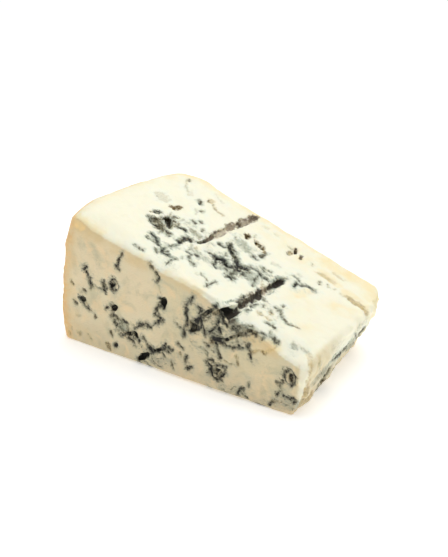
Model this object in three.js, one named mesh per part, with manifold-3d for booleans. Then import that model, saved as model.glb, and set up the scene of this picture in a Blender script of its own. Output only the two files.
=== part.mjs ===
// A wedge of blue cheese, lying on one of its two long cut faces.
//
// The wedge is cut from a round wheel whose axis lies level, along Y. The two long cuts are planes through
// that axis: the base, which is level, and the top, which rises from it at WEDGE_ANGLE. The front is a cut
// across the axis, the back is the wheel's flat rind, the thick end is its round rind, and the thin end, the
// nose, is torn. Two needle channels run along the top, and eyes, cracks and tears are cut into every face.
//
// Millimetres, +Z up. The shape is worked out with x from the rind to the nose, y from the front to the flat
// rind and z from the base. It is then moved so that the origin is the middle of the base.

import * as THREE from 'three';
import { ImprovedNoise } from 'three/addons/math/ImprovedNoise.js';
import { mergeVertices } from 'three/addons/utils/BufferGeometryUtils.js';
import Module from 'manifold-3d';

// Driving dimensions, in millimetres and degrees.
const WHEEL_RADIUS = 150;
const WEDGE_ANGLE = 18.5; // between the two long cuts
const WEDGE_LENGTH = 90; // along the foot of the front cut
const WEDGE_WIDTH = 58.6; // from the front cut to the flat rind, at the thick end
const BACK_TAPER = 0.037; // the flat rind runs in by this share of the way to the nose
const RIND_BULGE = 2.1; // the round rind swells out above its foot, most at the front
const RIND_BOW = 1.2; // and again between the front and the flat rind
const RIND_TUCK = 16; // height over which its foot draws in
const FRONT_BOW = 1.05; // the front cut swells out along its foot
const FRONT_BOW_SHIFT = 1.3; // above 1, most of that swell is nearer the nose
const FRONT_BOW_HEIGHT = 26; // and is flat above this height
const LIP_HEIGHT = 0.7; // the flat rind stands proud beside the round rind
const LIP_LENGTH = 22.5; // and steps back this far along
const LIP_STEP = 2.5; // over this length
const NOSE_LEAN = 0.25; // the nose leans out, as a share of height
const NOSE_TWIST = 0.0032; // and leans out more towards the flat rind, by this for each millimetre
const NOSE_SKEW = 0.093; // its foot runs in towards the flat rind, as a share of width
const CHANNEL_WIDTH = 3.6; // a piercing needle's track
const WORN_CORNER = 4; // the corner of rind, front and top is worn rounder than its edges by this
const WORN_HEIGHT = [30, 48]; // the wear grows between these heights
const WORN_REACH = 12; // and fades this far in from the front

// Radii of the rounded edges, each named by the two faces that meet there.
const EDGE_RADII = {
  rindBack: 16,
  rindTop: 4.2,
  rindFront: 2.2,
  rindBase: 2.4,
  topBack: 1.4,
  backBase: 1.6,
  noseBack: 10,
  topFront: 2.2,
  topNose: 2.6,
  frontBase: 0.8,
  frontNose: 2.6,
  noseBase: 2.2,
};

// How far the paste crumbles out of flat on each face, and the size of those crumbs.
const RELIEF = {
  rind: { height: 0.35, size: 11 },
  back: { height: 0.35, size: 11 },
  top: { height: 0.3, size: 7 },
  front: { height: 0.25, size: 8 },
  nose: { height: 0.8, size: 6 },
};

// The grid that the body's skin is built on, along x, y and z.
const GRID = [30, 20, 11];
const GRID_CENTRE = new THREE.Vector3(WEDGE_LENGTH / 2, WEDGE_WIDTH / 2, 15);
const GRID_LENGTH = 94;
const EDGE_BIAS = 0.5; // how much closer the grid is towards the edges, from 0 to 1
const HALVINGS = 40; // steps in the search for the surface along a ray
const FLAT_TOLERANCE = 1e-3; // points this close to the base lie on it

// How finely a hollow is cut: its sides, and rings spaced by a share of its width.
const WIDE_HOLLOW = 2.4;
const WIDE_SIDES = 8;
const NARROW_SIDES = 6;
const RING_SPACING = 0.75;
const RINGS = [5, 16];
const RAGGEDNESS = 0.22;
const TEAR_RAGGEDNESS = 0.1; // for the straight tears beside the nose's front corner

const { clamp, degToRad, lerp, smoothstep } = THREE.MathUtils;
const slope = Math.tan(degToRad(WEDGE_ANGLE));
const noise = new ImprovedNoise();

// Gentle unevenness, within about plus or minus one.
function crumble(p, size) {
  const coarse = noise.noise(p.x / size, p.y / size, p.z / size);
  const fine = noise.noise((2.3 * p.x) / size, (2.3 * p.y) / size, (2.3 * p.z) / size + 7);
  return 1.2 * coarse + 0.5 * fine;
}

function backAt(x) {
  const lip = LIP_HEIGHT * (1 - smoothstep(x, LIP_LENGTH - LIP_STEP / 2, LIP_LENGTH + LIP_STEP / 2));
  return WEDGE_WIDTH - BACK_TAPER * x + lip;
}

function frontAt(x, z) {
  const bow = Math.sin(Math.PI * clamp(x / WEDGE_LENGTH, 0, 1) ** FRONT_BOW_SHIFT) ** 1.5;
  return -FRONT_BOW * bow * (1 - smoothstep(z, 0, FRONT_BOW_HEIGHT));
}

// How far the round rind stands out from the true circle.
function rindSwell(y, z) {
  const across = clamp(y / WEDGE_WIDTH, 0, 1);
  const swell = RIND_BULGE * (1 - 0.7 * across ** 2) + RIND_BOW * Math.sin(Math.PI * across);
  return swell * smoothstep(z, -RIND_TUCK / 2, RIND_TUCK);
}

function noseAt(y, z) {
  return WEDGE_LENGTH + (NOSE_LEAN + NOSE_TWIST * y) * z - NOSE_SKEW * y;
}

// The signed distance from each of the wedge's faces, negative towards the inside.
function faceDistances(p) {
  return {
    rind: Math.hypot(WHEEL_RADIUS - p.x, p.z) - WHEEL_RADIUS - rindSwell(p.y, p.z),
    back: p.y - backAt(p.x),
    top: (p.z - (WHEEL_RADIUS - p.x) * slope) / Math.hypot(1, slope),
    front: frontAt(p.x, p.z) - p.y,
    nose: (p.x - noseAt(p.y, p.z)) / Math.hypot(1, NOSE_LEAN, NOSE_SKEW),
    base: -p.z,
  };
}

// Distance from where two faces meet in an edge of the given radius.
function roundedEdge(radius, a, b) {
  return Math.min(-radius, Math.max(a, b)) + Math.hypot(Math.max(radius + a, 0), Math.max(radius + b, 0));
}

// Below zero inside the cheese. The base stays flat, as it has no relief.
function cheeseDistance(p) {
  const far = faceDistances(p);
  for (const [face, { height, size }] of Object.entries(RELIEF)) far[face] += height * crumble(p, size);
  const worn = WORN_CORNER * smoothstep(p.z, ...WORN_HEIGHT) * (1 - smoothstep(p.y, 0, WORN_REACH));
  return Math.max(
    roundedEdge(EDGE_RADII.rindBack, far.rind, far.back),
    roundedEdge(EDGE_RADII.rindTop + worn, far.rind, far.top),
    roundedEdge(EDGE_RADII.rindFront + worn, far.rind, far.front),
    roundedEdge(EDGE_RADII.rindBase, far.rind, far.base),
    roundedEdge(EDGE_RADII.topBack, far.top, far.back),
    roundedEdge(EDGE_RADII.backBase, far.back, far.base),
    roundedEdge(EDGE_RADII.noseBack, far.nose, far.back),
    roundedEdge(EDGE_RADII.topFront, far.top, far.front),
    roundedEdge(EDGE_RADII.topNose, far.top, far.nose),
    roundedEdge(EDGE_RADII.frontBase, far.front, far.base),
    roundedEdge(EDGE_RADII.frontNose, far.front, far.nose),
    roundedEdge(EDGE_RADII.noseBase, far.nose, far.base),
  );
}

// A closed, merged geometry with nothing but positions.
function bare(geometry) {
  geometry.deleteAttribute('normal');
  geometry.deleteAttribute('uv');
  return mergeVertices(geometry, 1e-4);
}

// The body: a box grid, closer towards its edges, whose points are shot out from the middle to the surface.
function bodyGeometry() {
  const box = new THREE.BoxGeometry(2, 2, 2, ...GRID);
  const place = box.attributes.position;
  const spread = (t) => 0.5 + 0.5 * lerp(t, Math.sin((t * Math.PI) / 2), EDGE_BIAS);
  const p = new THREE.Vector3();
  const ray = new THREE.Vector3();
  for (let i = 0; i < place.count; i++) {
    const x = spread(place.getX(i)) * GRID_LENGTH;
    const y = spread(place.getY(i)) * WEDGE_WIDTH;
    const z = spread(place.getZ(i)) * (WHEEL_RADIUS - x) * slope;
    ray.set(x, y, z).sub(GRID_CENTRE);
    let inside = 0.2;
    let outside = 2;
    for (let k = 0; k < HALVINGS; k++) {
      const t = (inside + outside) / 2;
      if (cheeseDistance(p.copy(GRID_CENTRE).addScaledVector(ray, t)) < 0) inside = t;
      else outside = t;
    }
    place.setXYZ(i, p.x, p.y, Math.abs(p.z) < FLAT_TOLERANCE ? 0 : p.z);
  }
  return bare(box);
}

// Places on a face by two measures: (x, y) on the top and base, (x, z) on the front and back, and (y, z) on
// the nose.
const FACES = {
  top: {
    point: (x, y) => new THREE.Vector3(x, y, (WHEEL_RADIUS - x) * slope),
    normal: new THREE.Vector3(slope, 0, 1).normalize(),
  },
  front: {
    point: (x, z) => new THREE.Vector3(x, frontAt(x, z), z),
    normal: new THREE.Vector3(0, -1, 0),
  },
  back: {
    point: (x, z) => new THREE.Vector3(x, backAt(x), z),
    normal: new THREE.Vector3(0, 1, 0),
  },
  nose: {
    point: (y, z) => new THREE.Vector3(noseAt(y, z), y, z),
    normal: new THREE.Vector3(1, NOSE_SKEW, -NOSE_LEAN).normalize(),
  },
  base: {
    point: (x, y) => new THREE.Vector3(x, y, 0),
    normal: new THREE.Vector3(0, 0, -1),
  },
};

// A hollow to cut out: a closed worm along points on a face, round in section, ragged, with closed ends. Its
// depth is measured down from the face and may change along the way.
function hollowGeometry(faceName, points, width, depths, rough = RAGGEDNESS) {
  const face = FACES[faceName];
  const path = new THREE.CatmullRomCurve3(points.map(([u, v]) => face.point(u, v)));
  const length = path.getLength();
  const sides = width > WIDE_HOLLOW ? WIDE_SIDES : NARROW_SIDES;
  const rings = Math.round(clamp(length / (RING_SPACING * width), ...RINGS));
  const ends = clamp(length / width, 2, 6);
  const worm = new THREE.SphereGeometry(1, sides, rings);
  const place = worm.attributes.position;
  const dot = new THREE.Vector3();
  const across = new THREE.Vector3();
  for (let i = 0; i < place.count; i++) {
    dot.fromBufferAttribute(place, i);
    const along = (1 - dot.y) / 2;
    const girth = Math.hypot(dot.x, dot.z);
    const full = (1 - Math.abs(dot.y) ** ends) ** (1 / ends);
    const middle = path.getPointAt(along);
    across.crossVectors(face.normal, path.getTangentAt(along)).normalize();
    const depth = lerp(depths[0], depths[1], along);
    const onPole = girth < 1e-6;
    const side = onPole ? 0 : (full * dot.x * width) / (2 * girth);
    const rise = onPole ? 0 : (full * dot.z * (dot.z < 0 ? depth : Math.max(1, width / 2))) / girth;
    const ragged = 1 + rough * crumble(middle.clone().addScaledVector(dot, 0.7 * width), 0.8 * width);
    middle.addScaledVector(across, side * ragged).addScaledVector(face.normal, rise * ragged);
    place.setXYZ(i, middle.x, middle.y, middle.z);
  }
  return bare(worm);
}

// An eye: a short hollow at (u, v), drawn out along a direction given in degrees from the first measure.
function eyeGeometry(faceName, u, v, length, width, depth, turn = 0) {
  const du = (Math.cos(degToRad(turn)) * length) / 2;
  const dv = (Math.sin(degToRad(turn)) * length) / 2;
  return hollowGeometry(faceName, [[u - du, v - dv], [u, v], [u + du, v + dv]], width, [depth, depth]);
}

// The two needle channels along the top. One starts beside the flat rind, the other runs out at the front.
function channels() {
  const back = [[43.3, 55.8], [43.1, 50], [42.6, 44], [41.5, 31], [41.8, 26], [41.2, 20]];
  const front = [[67.9, 30.5], [68, 24], [68.2, 18], [68, 10], [67.6, 4], [67.2, -4]];
  return [
    hollowGeometry('top', back, CHANNEL_WIDTH, [1.9, 1.4]),
    hollowGeometry('top', front, CHANNEL_WIDTH, [1.8, 2.6]),
    eyeGeometry('front', 67, 26.4, 6.4, 3.6, 4, -8),
  ];
}

// Cracks and torn places that the mould has opened, by face.
function tears() {
  return [
    hollowGeometry('top', [[23, 19], [27, 16.8], [31, 15.6], [33, 16.4]], 4.6, [1, 1.2]),
    hollowGeometry('top', [[25.4, 24.6], [28.4, 22], [31, 19.6]], 2.6, [2.4, 3]),
    hollowGeometry('top', [[47, 30], [49.5, 26.6], [52.5, 25], [55.2, 22.6]], 1.5, [0.9, 1.2]),
    hollowGeometry('top', [[48.4, 19], [51, 19.8], [54, 18.2], [57, 20.6], [59, 22.6]], 1.7, [1.1, 1.2]),
    hollowGeometry('top', [[50.5, 38.6], [53, 38], [56, 36.8]], 2.6, [1.5, 1]),
    hollowGeometry('top', [[37.2, 7], [39, 6], [42.6, 6.6], [43, 2.6]], 1.3, [1.1, 0.7]),
    hollowGeometry('top', [[84, 39.4], [88, 39], [93, 37.6]], 2.2, [1, 1.4]),
    hollowGeometry('front', [[32.6, 2.2], [35.4, 3.8], [37.6, 6.4], [42, 8.2], [45, 9.2]], 1.9, [1.7, 0.7]),
    hollowGeometry('front', [[51, 16.4], [52.4, 18.6], [56, 20], [58.4, 24.4], [62, 27]], 2, [0.8, 1.5]),
    hollowGeometry('front', [[23, 13.4], [26, 11.6], [29, 9.4], [32.2, 9.6]], 1.9, [0.7, 1.5]),
    hollowGeometry('front', [[34, 14.6], [37, 14.4], [41, 17.6], [40.4, 21], [43, 24]], 1, [0.6, 0.8]),
    hollowGeometry('front', [[61, 17], [66, 18], [70, 20.6], [74, 22.6]], 1.5, [1, 1]),
    hollowGeometry('nose', [[1.4, -3], [1.7, 9], [0.9, 15], [0.3, 24]], 1.3, [2.2, 1.7], TEAR_RAGGEDNESS),
    hollowGeometry('nose', [[8.9, -3], [8.6, 6], [6.4, 13], [3, 24]], 1.6, [1, 0.7], TEAR_RAGGEDNESS),
    hollowGeometry('nose', [[19, 9.6], [24, 9.1], [31.4, 7.7], [36, 6.6], [45, 5.8], [51, 6.8]], 1.6, [1.2, 1]),
    hollowGeometry('back', [[56, 15], [59, 13.4], [63, 13.8]], 1.4, [0.9, 0.7]),
  ];
}

// Round and oval eyes: face, place, length, width, depth and turn.
function eyes() {
  const list = [
    ['top', 23.2, 23, 3, 1.8, 1.4, 50],
    ['top', 24.6, 31.6, 4.4, 3, 1.3, 60],
    ['top', 26.6, 42.8, 2.6, 1.3, 1, -60],
    ['top', 37.9, 17.2, 5, 1.9, 1.1, 90],
    ['top', 48, 39.6, 2.8, 2.4, 1.7, 0],
    ['top', 62, 47, 3.2, 1.7, 1.2, -55],
    ['top', 65, 45.2, 2.6, 1.6, 1.2, -50],
    ['top', 75.4, 43, 6.4, 2.4, 0.8, -8],
    ['top', 80.6, 10.2, 3.6, 1.3, 0.9, 15],
    ['front', 10, 16.6, 4, 2.2, 1.5, -55],
    ['front', 23.2, 17.2, 3, 2.4, 1.4, 0],
    ['front', 23.3, 25.2, 3.2, 2.6, 1.5, 40],
    ['front', 19, 23.6, 2.4, 1.6, 1, 70],
    ['front', 43.1, 24.2, 3.2, 2.7, 1.9, 90],
    ['front', 54.4, 18.9, 4, 2.4, 1.5, 15],
    ['front', 63, 7, 4.8, 4, 1.3, 25],
    ['front', 87.4, 12.2, 4.8, 2.8, 1.7, 82],
    ['nose', 17, 3.8, 6.5, 4, 0.9, -35],
    ['back', 23.5, 25, 3, 2.8, 2.6, 0],
    ['back', 43, 24, 3, 2.8, 2.6, 0],
    ['back', 63.4, 7, 3, 2.6, 2.4, 0],
    ['base', 24, 44, 4, 2.6, 1.4, 30],
    ['base', 33, 17, 3.4, 2.4, 1.2, 70],
    ['base', 58, 13, 4.4, 2.2, 1.3, -20],
    ['base', 66, 42, 3.2, 2.4, 1.4, 10],
  ];
  return list.map((eye) => eyeGeometry(...eye));
}

// Chips broken off the edge between the top and the front, on the way to the nose.
function chips() {
  return [
    eyeGeometry('front', 57.5, 30.6, 9, 2.6, 0.9, -18),
    eyeGeometry('front', 78.6, 22.4, 9, 4.2, 1.3, -16),
    eyeGeometry('nose', 0.4, 17.6, 5, 3, 1.2, 80),
  ];
}

function toManifold(wasm, geometry) {
  const mesh = new wasm.Mesh({
    numProp: 3,
    vertProperties: new Float32Array(geometry.attributes.position.array),
    triVerts: new Uint32Array(geometry.index.array),
  });
  return new wasm.Manifold(mesh);
}

function toGeometry(solid) {
  const { vertProperties, triVerts } = solid.getMesh();
  const geometry = new THREE.BufferGeometry();
  geometry.setAttribute('position', new THREE.BufferAttribute(new Float32Array(vertProperties), 3));
  geometry.setIndex(new THREE.BufferAttribute(new Uint32Array(triVerts), 1));
  return geometry;
}

async function cheeseGeometry() {
  const wasm = await Module();
  wasm.setup();
  let cheese = toManifold(wasm, bodyGeometry());
  for (const cut of [...channels(), ...tears(), ...eyes(), ...chips()]) {
    cheese = cheese.subtract(toManifold(wasm, cut));
  }
  const geometry = toGeometry(cheese);
  geometry.computeBoundingBox();
  const middle = geometry.boundingBox.getCenter(new THREE.Vector3());
  return geometry.translate(-middle.x, -middle.y, 0);
}

const paste = new THREE.MeshStandardMaterial({ color: 0xf3ead0, roughness: 0.5, metalness: 0 });
const wedge = new THREE.Mesh(await cheeseGeometry(), paste);
wedge.name = 'cheese_wedge';

const group = new THREE.Group();
group.add(wedge);
export default group;
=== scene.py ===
"""A wedge of blue cheese lying on one of its long cut faces: its form, its mould and its rind.

Sizes and places are in millimetres on the wedge itself, and are turned into metres as they are used: x runs
from the round rind to the torn nose, y from the front cut to the flat rind, z up from the base.
"""

import math
import random

import bpy
import numpy as np
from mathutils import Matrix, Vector, noise


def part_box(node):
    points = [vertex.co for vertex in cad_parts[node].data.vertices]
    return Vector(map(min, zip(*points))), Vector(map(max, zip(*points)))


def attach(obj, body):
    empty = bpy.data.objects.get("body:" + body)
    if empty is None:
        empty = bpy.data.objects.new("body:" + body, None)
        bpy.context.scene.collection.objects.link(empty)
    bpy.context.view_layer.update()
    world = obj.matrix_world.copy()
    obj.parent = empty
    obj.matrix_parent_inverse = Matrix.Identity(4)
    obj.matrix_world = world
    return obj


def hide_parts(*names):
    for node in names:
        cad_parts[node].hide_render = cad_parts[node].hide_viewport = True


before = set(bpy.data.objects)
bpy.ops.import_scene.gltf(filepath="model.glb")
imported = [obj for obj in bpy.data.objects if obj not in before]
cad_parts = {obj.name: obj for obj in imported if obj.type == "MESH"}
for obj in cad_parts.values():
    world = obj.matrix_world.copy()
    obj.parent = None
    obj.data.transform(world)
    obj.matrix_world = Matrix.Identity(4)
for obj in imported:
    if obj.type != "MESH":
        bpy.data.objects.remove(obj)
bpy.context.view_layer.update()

MM = 0.001

# ---------------------------------------------------------------------------------------------------------
# The wedge's own sizes

WHEEL_RADIUS = 150.0
WEDGE_ANGLE = 18.5  # between the two long cuts
WEDGE_LENGTH = 90.0  # along the foot of the front cut
WEDGE_WIDTH = 58.6  # from the front cut to the flat rind, at the thick end
BACK_TAPER = 0.037  # the flat rind runs in by this share of the way to the nose
RIND_BULGE = 2.1  # the round rind swells out above its foot, most at the front
RIND_BULGE_LOSS = 0.7  # and less by this share at the flat rind
RIND_BOW = 1.2  # and again between the front and the flat rind
RIND_TUCK = 16.0  # height over which its foot draws in
FRONT_BOW = 1.05  # the front cut swells out along its foot
FRONT_BOW_SHIFT = 1.3  # above 1, most of that swell is nearer the nose
FRONT_BOW_CURVE = 1.5  # above 1, it sets in softly at both ends
FRONT_BOW_HEIGHT = 26.0  # and is flat above this height
LIP_HEIGHT = 0.7  # the flat rind stands proud beside the round rind
LIP_LENGTH = 22.5  # and steps back this far along
LIP_STEP = 2.5  # over this length
NOSE_LEAN = 0.25  # the nose leans out, as a share of height
NOSE_TWIST = 0.0032  # and leans out more towards the flat rind, by this for each millimetre
NOSE_SKEW = 0.093  # its foot runs in towards the flat rind, as a share of width
NOSE_TUCK = 1.3  # and is drawn in by this
NOSE_TUCK_ACROSS = (18.0, 38.0)  # growing between these places across
NOSE_TUCK_HEIGHT = (2.0, 9.0)  # and fading between these heights
WORN_CORNER = 4.0  # the corner of rind, front and top is worn rounder than its edges by this
WORN_HEIGHT = (30.0, 48.0)  # the wear grows between these heights
WORN_REACH = 12.0  # and fades this far in from the front

# Radii of the rounded edges, each named by the two faces that meet there.
EDGE_RADII = {
    ("rind", "back"): 16.0,
    ("rind", "top"): 4.2,
    ("rind", "front"): 2.2,
    ("rind", "base"): 2.4,
    ("top", "back"): 1.4,
    ("back", "base"): 1.6,
    ("nose", "back"): 10.0,
    ("top", "front"): 0.8,
    ("top", "nose"): 2.6,
    ("front", "base"): 0.8,
    ("front", "nose"): 2.6,
    ("nose", "base"): 2.2,
}

# The top rolls down to the front cut, unevenly: how far, at places along x. It does so over a run inwards
# of SAG_RUN times as much.
SAG_AT = (0.0, 10.0, 15.0, 20.0, 30.0, 38.0, 43.0, 50.0, 55.0, 60.0, 66.0, 72.0, 77.0, 80.0, 84.0, 90.0)
SAG = (2.4, 1.9, 3.0, 2.8, 2.1, 1.1, 2.0, 0.8, 0.5, 0.7, 1.2, 2.0, 1.5, 1.9, 3.2, 3.3)
SAG_RUN = 2.3
SAG_CURVE = 1.6

# The gentle unevenness of each face: height and size of its swellings, and the share of ones FINER_BY finer.
RELIEF = {
    "rind": (0.35, 11.0, 0.15),
    "back": (0.35, 11.0, 0.3),
    "top": (0.3, 7.0, 0.5),
    "front": (0.25, 8.0, 0.5),
    "nose": (0.8, 6.0, 0.5),
}
FINER_BY = 2.3
COARSE_SHARE = 1.2

# The skin stands this little outside the plain form, to make up for what smoothing takes off.
SWELL = 0.1

SLOPE = math.tan(math.radians(WEDGE_ANGLE))

# The wedge's zero lies this far in from the frame's furthest point at the nose and its nearest at the front.
NOSE_REACH = 94.418
FRONT_REACH = -1.168
LOW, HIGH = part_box("cheese_wedge")
ZERO = np.array([HIGH.x / MM - NOSE_REACH, LOW.y / MM - FRONT_REACH, 0.0])


def to_metres(places):
    return (np.asarray(places, float) + ZERO) * MM


def to_wedge(places):
    return np.asarray(places, float) / MM - ZERO


# ---------------------------------------------------------------------------------------------------------
# Modelling helpers

def deselect_all():
    if bpy.context.mode != "OBJECT":
        bpy.ops.object.mode_set(mode="OBJECT")
    bpy.ops.object.select_all(action="DESELECT")


def pick(obj):
    deselect_all()
    obj.select_set(True)
    bpy.context.view_layer.objects.active = obj


def settle_place(obj):
    pick(obj)
    bpy.ops.object.transform_apply(location=True, rotation=True, scale=True)


def finish_with(obj, kind, **settings):
    """Adds a modifier, sets it and applies it."""
    pick(obj)
    modifier = obj.modifiers.new(kind.title(), kind)
    for name, value in settings.items():
        setattr(modifier, name, value)
    bpy.ops.object.modifier_apply(modifier=modifier.name)


def vertices(obj):
    flat = np.empty(len(obj.data.vertices) * 3)
    obj.data.vertices.foreach_get("co", flat)
    return flat.reshape(-1, 3)


def set_vertices(obj, places):
    obj.data.vertices.foreach_set("co", np.ascontiguousarray(places, float).ravel())
    obj.data.update()


def normals(obj):
    flat = np.empty(len(obj.data.vertices) * 3)
    obj.data.vertices.foreach_get("normal", flat)
    return flat.reshape(-1, 3)


def smoothstep(value, low, high):
    share = np.clip((value - low) / (high - low), 0.0, 1.0)
    return share * share * (3.0 - 2.0 * share)


def noise_at(places, size, lift=0.0, basis="BLENDER"):
    """Smooth noise of about plus or minus one at each place, with bumps of the given size."""
    steps = np.asarray(places) / size + [0.0, 0.0, lift]
    return np.array([noise.noise(Vector(step), noise_basis=basis) for step in steps])


# ---------------------------------------------------------------------------------------------------------
# The wedge's form: six faces, each given by its distance, met in rounded edges

def back_at(x):
    """Where the flat rind lies across, at a place along."""
    lip = LIP_HEIGHT * (1.0 - smoothstep(x, LIP_LENGTH - LIP_STEP / 2, LIP_LENGTH + LIP_STEP / 2))
    return WEDGE_WIDTH - BACK_TAPER * x + lip


def front_at(x, z):
    """Where the front cut lies across."""
    along = np.clip(x / WEDGE_LENGTH, 0.0, 1.0) ** FRONT_BOW_SHIFT
    bow = np.sin(math.pi * along) ** FRONT_BOW_CURVE
    return -FRONT_BOW * bow * (1.0 - smoothstep(z, 0.0, FRONT_BOW_HEIGHT))


def nose_at(y, z):
    """Where the nose lies along."""
    tuck = NOSE_TUCK * smoothstep(y, *NOSE_TUCK_ACROSS) * (1.0 - smoothstep(z, *NOSE_TUCK_HEIGHT))
    return WEDGE_LENGTH + (NOSE_LEAN + NOSE_TWIST * y) * z - NOSE_SKEW * y - tuck


def rind_swell(y, z):
    """How far the round rind stands out from the wheel's own round."""
    across = np.clip(y / WEDGE_WIDTH, 0.0, 1.0)
    swell = RIND_BULGE * (1.0 - RIND_BULGE_LOSS * across**2) + RIND_BOW * np.sin(math.pi * across)
    return swell * smoothstep(z, -RIND_TUCK / 2, RIND_TUCK)


def swellings(p):
    """The unevenness of each face at each place."""
    relief = {}
    for face, (height, size, fine_share) in RELIEF.items():
        coarse = noise_at(p, size, basis="PERLIN_NEW")
        fine = noise_at(p, size / FINER_BY, 7.0, basis="PERLIN_NEW")
        relief[face] = height * (COARSE_SHARE * coarse + fine_share * fine)
    relief["base"] = 0.0
    return relief


def face_distances(p, relief=None):
    """How far each place lies outside each of the wedge's faces, in millimetres."""
    x, y, z = p[:, 0], p[:, 1], p[:, 2]
    sag = np.interp(x, SAG_AT, SAG)
    sag = sag * (1.0 - np.clip(y / (SAG_RUN * sag), 0.0, 1.0)) ** SAG_CURVE
    far = {
        "rind": np.hypot(WHEEL_RADIUS - x, z) - WHEEL_RADIUS - rind_swell(y, z),
        "back": y - back_at(x),
        "top": (z + sag - (WHEEL_RADIUS - x) * SLOPE) / math.hypot(1.0, SLOPE),
        "front": front_at(x, z) - y,
        "nose": (x - nose_at(y, z)) / math.sqrt(1.0 + NOSE_LEAN**2 + NOSE_SKEW**2),
        "base": -z,
    }
    return far if relief is None else {face: far[face] + relief[face] for face in far}


def wedge_distance(p, relief=None):
    """How far each place lies outside the whole wedge with its rounded edges, in millimetres."""
    far = face_distances(p, relief)
    worn = WORN_CORNER * smoothstep(p[:, 2], *WORN_HEIGHT) * (1.0 - smoothstep(p[:, 1], 0.0, WORN_REACH))
    outer = np.full(len(p), -1e9)
    for (a, b), radius in EDGE_RADII.items():
        if "rind" in (a, b) and ("top" in (a, b) or "front" in (a, b)):
            radius = radius + worn
        inner = np.minimum(-radius, np.maximum(far[a], far[b]))
        arc = np.hypot(np.maximum(radius + far[a], 0.0), np.maximum(radius + far[b], 0.0))
        outer = np.maximum(outer, inner + arc)
    return outer - SWELL


def form_slopes(p, relief, reach=0.05):
    """The way straight out of the form at each place, scaled so that a step of the distance lands on it."""
    here = wedge_distance(p, relief)
    slopes = np.stack([wedge_distance(p + reach * axis, relief) - here for axis in np.eye(3)], axis=1) / reach
    return slopes / np.maximum((slopes**2).sum(axis=1), 0.25)[:, None]


def press_to_form(obj, rounds=3):
    """Moves every vertex straight onto the wedge's rounded form."""
    p = to_wedge(vertices(obj))
    for _ in range(rounds):
        relief = swellings(p)
        p = p - form_slopes(p, relief) * wedge_distance(p, relief)[:, None]
    set_vertices(obj, to_metres(p))


# ---------------------------------------------------------------------------------------------------------
# Faces, and places on them: (x, y) on the top and base, (x, z) on the front and back, (y, z) on the nose

FACE_NORMALS = {
    "top": Vector((SLOPE, 0.0, 1.0)).normalized(),
    "front": Vector((0.0, -1.0, 0.0)),
    "back": Vector((0.0, 1.0, 0.0)),
    "nose": Vector((1.0, NOSE_SKEW, -NOSE_LEAN)).normalized(),
    "base": Vector((0.0, 0.0, -1.0)),
}


def face_point(face, u, v):
    if face == "top":
        return Vector((u, v, (WHEEL_RADIUS - u) * SLOPE))
    if face == "front":
        return Vector((u, float(front_at(u, v)), v))
    if face == "back":
        return Vector((u, float(back_at(u)), v))
    if face == "nose":
        return Vector((nose_at(u, v), u, v))
    return Vector((u, v, 0.0))


# ---------------------------------------------------------------------------------------------------------
# The blank: a slice of the wheel, spun from its base cut, with the nose cut across

SPIN_STEPS = 24
SPARE_LENGTH = 22.0
BLANK_VOXEL = 0.9


def wheel_slice():
    """The base cut as a flat profile, spun about the wheel's axis up to the top cut."""
    deselect_all()
    length = WEDGE_LENGTH + SPARE_LENGTH
    middle = to_metres([[length / 2, WEDGE_WIDTH / 2, 0.0]])[0]
    bpy.ops.mesh.primitive_plane_add(size=1.0, location=middle)
    wedge = bpy.context.object
    wedge.name = "cheese"
    wedge.scale = (length * MM, WEDGE_WIDTH * MM, 1.0)
    settle_place(wedge)
    bpy.ops.object.mode_set(mode="EDIT")
    bpy.ops.mesh.select_all(action="SELECT")
    axle = to_metres([[WHEEL_RADIUS, 0.0, 0.0]])[0]
    bpy.ops.mesh.spin(steps=SPIN_STEPS, angle=-math.radians(WEDGE_ANGLE), center=axle, axis=(0.0, 1.0, 0.0))
    bpy.ops.mesh.select_all(action="SELECT")
    bpy.ops.mesh.remove_doubles(threshold=0.01 * MM)
    bpy.ops.mesh.normals_make_consistent(inside=False)
    bpy.ops.object.mode_set(mode="OBJECT")
    return wedge


def cut_nose(wedge):
    """Cuts the spare length off at the nose's slant."""
    pick(wedge)
    bpy.ops.object.mode_set(mode="EDIT")
    bpy.ops.mesh.select_all(action="SELECT")
    foot = to_metres([[WEDGE_LENGTH, 0.0, 0.0]])[0]
    bpy.ops.mesh.bisect(plane_co=foot, plane_no=FACE_NORMALS["nose"], use_fill=True, clear_outer=True)
    bpy.ops.object.mode_set(mode="OBJECT")


# ---------------------------------------------------------------------------------------------------------
# Hollows: rows of rough lumps that are joined and cut out of the wedge

LUMP_STEP = 0.42
LUMP_JITTER = 0.13
LUMP_ROUGHNESS = 0.16
LUMP_BUMP_SIZE = 0.7
DEPTH_JITTER = 0.1
TEAR_TAPER = 0.5
HOLLOW_SEED = 41
CUTTER_VOXEL = 0.42

# The piercing holes in the flat rind: the path and the depth of each.
NEEDLE_HOLES = [
    ([(23.4, 25), (23.6, 25)], 2.6),
    ([(42.9, 24), (43.1, 24)], 2.6),
    ([(63.3, 7), (63.5, 7)], 2.4),
]
NEEDLE_HOLE_WIDTH = 2.8

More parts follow.
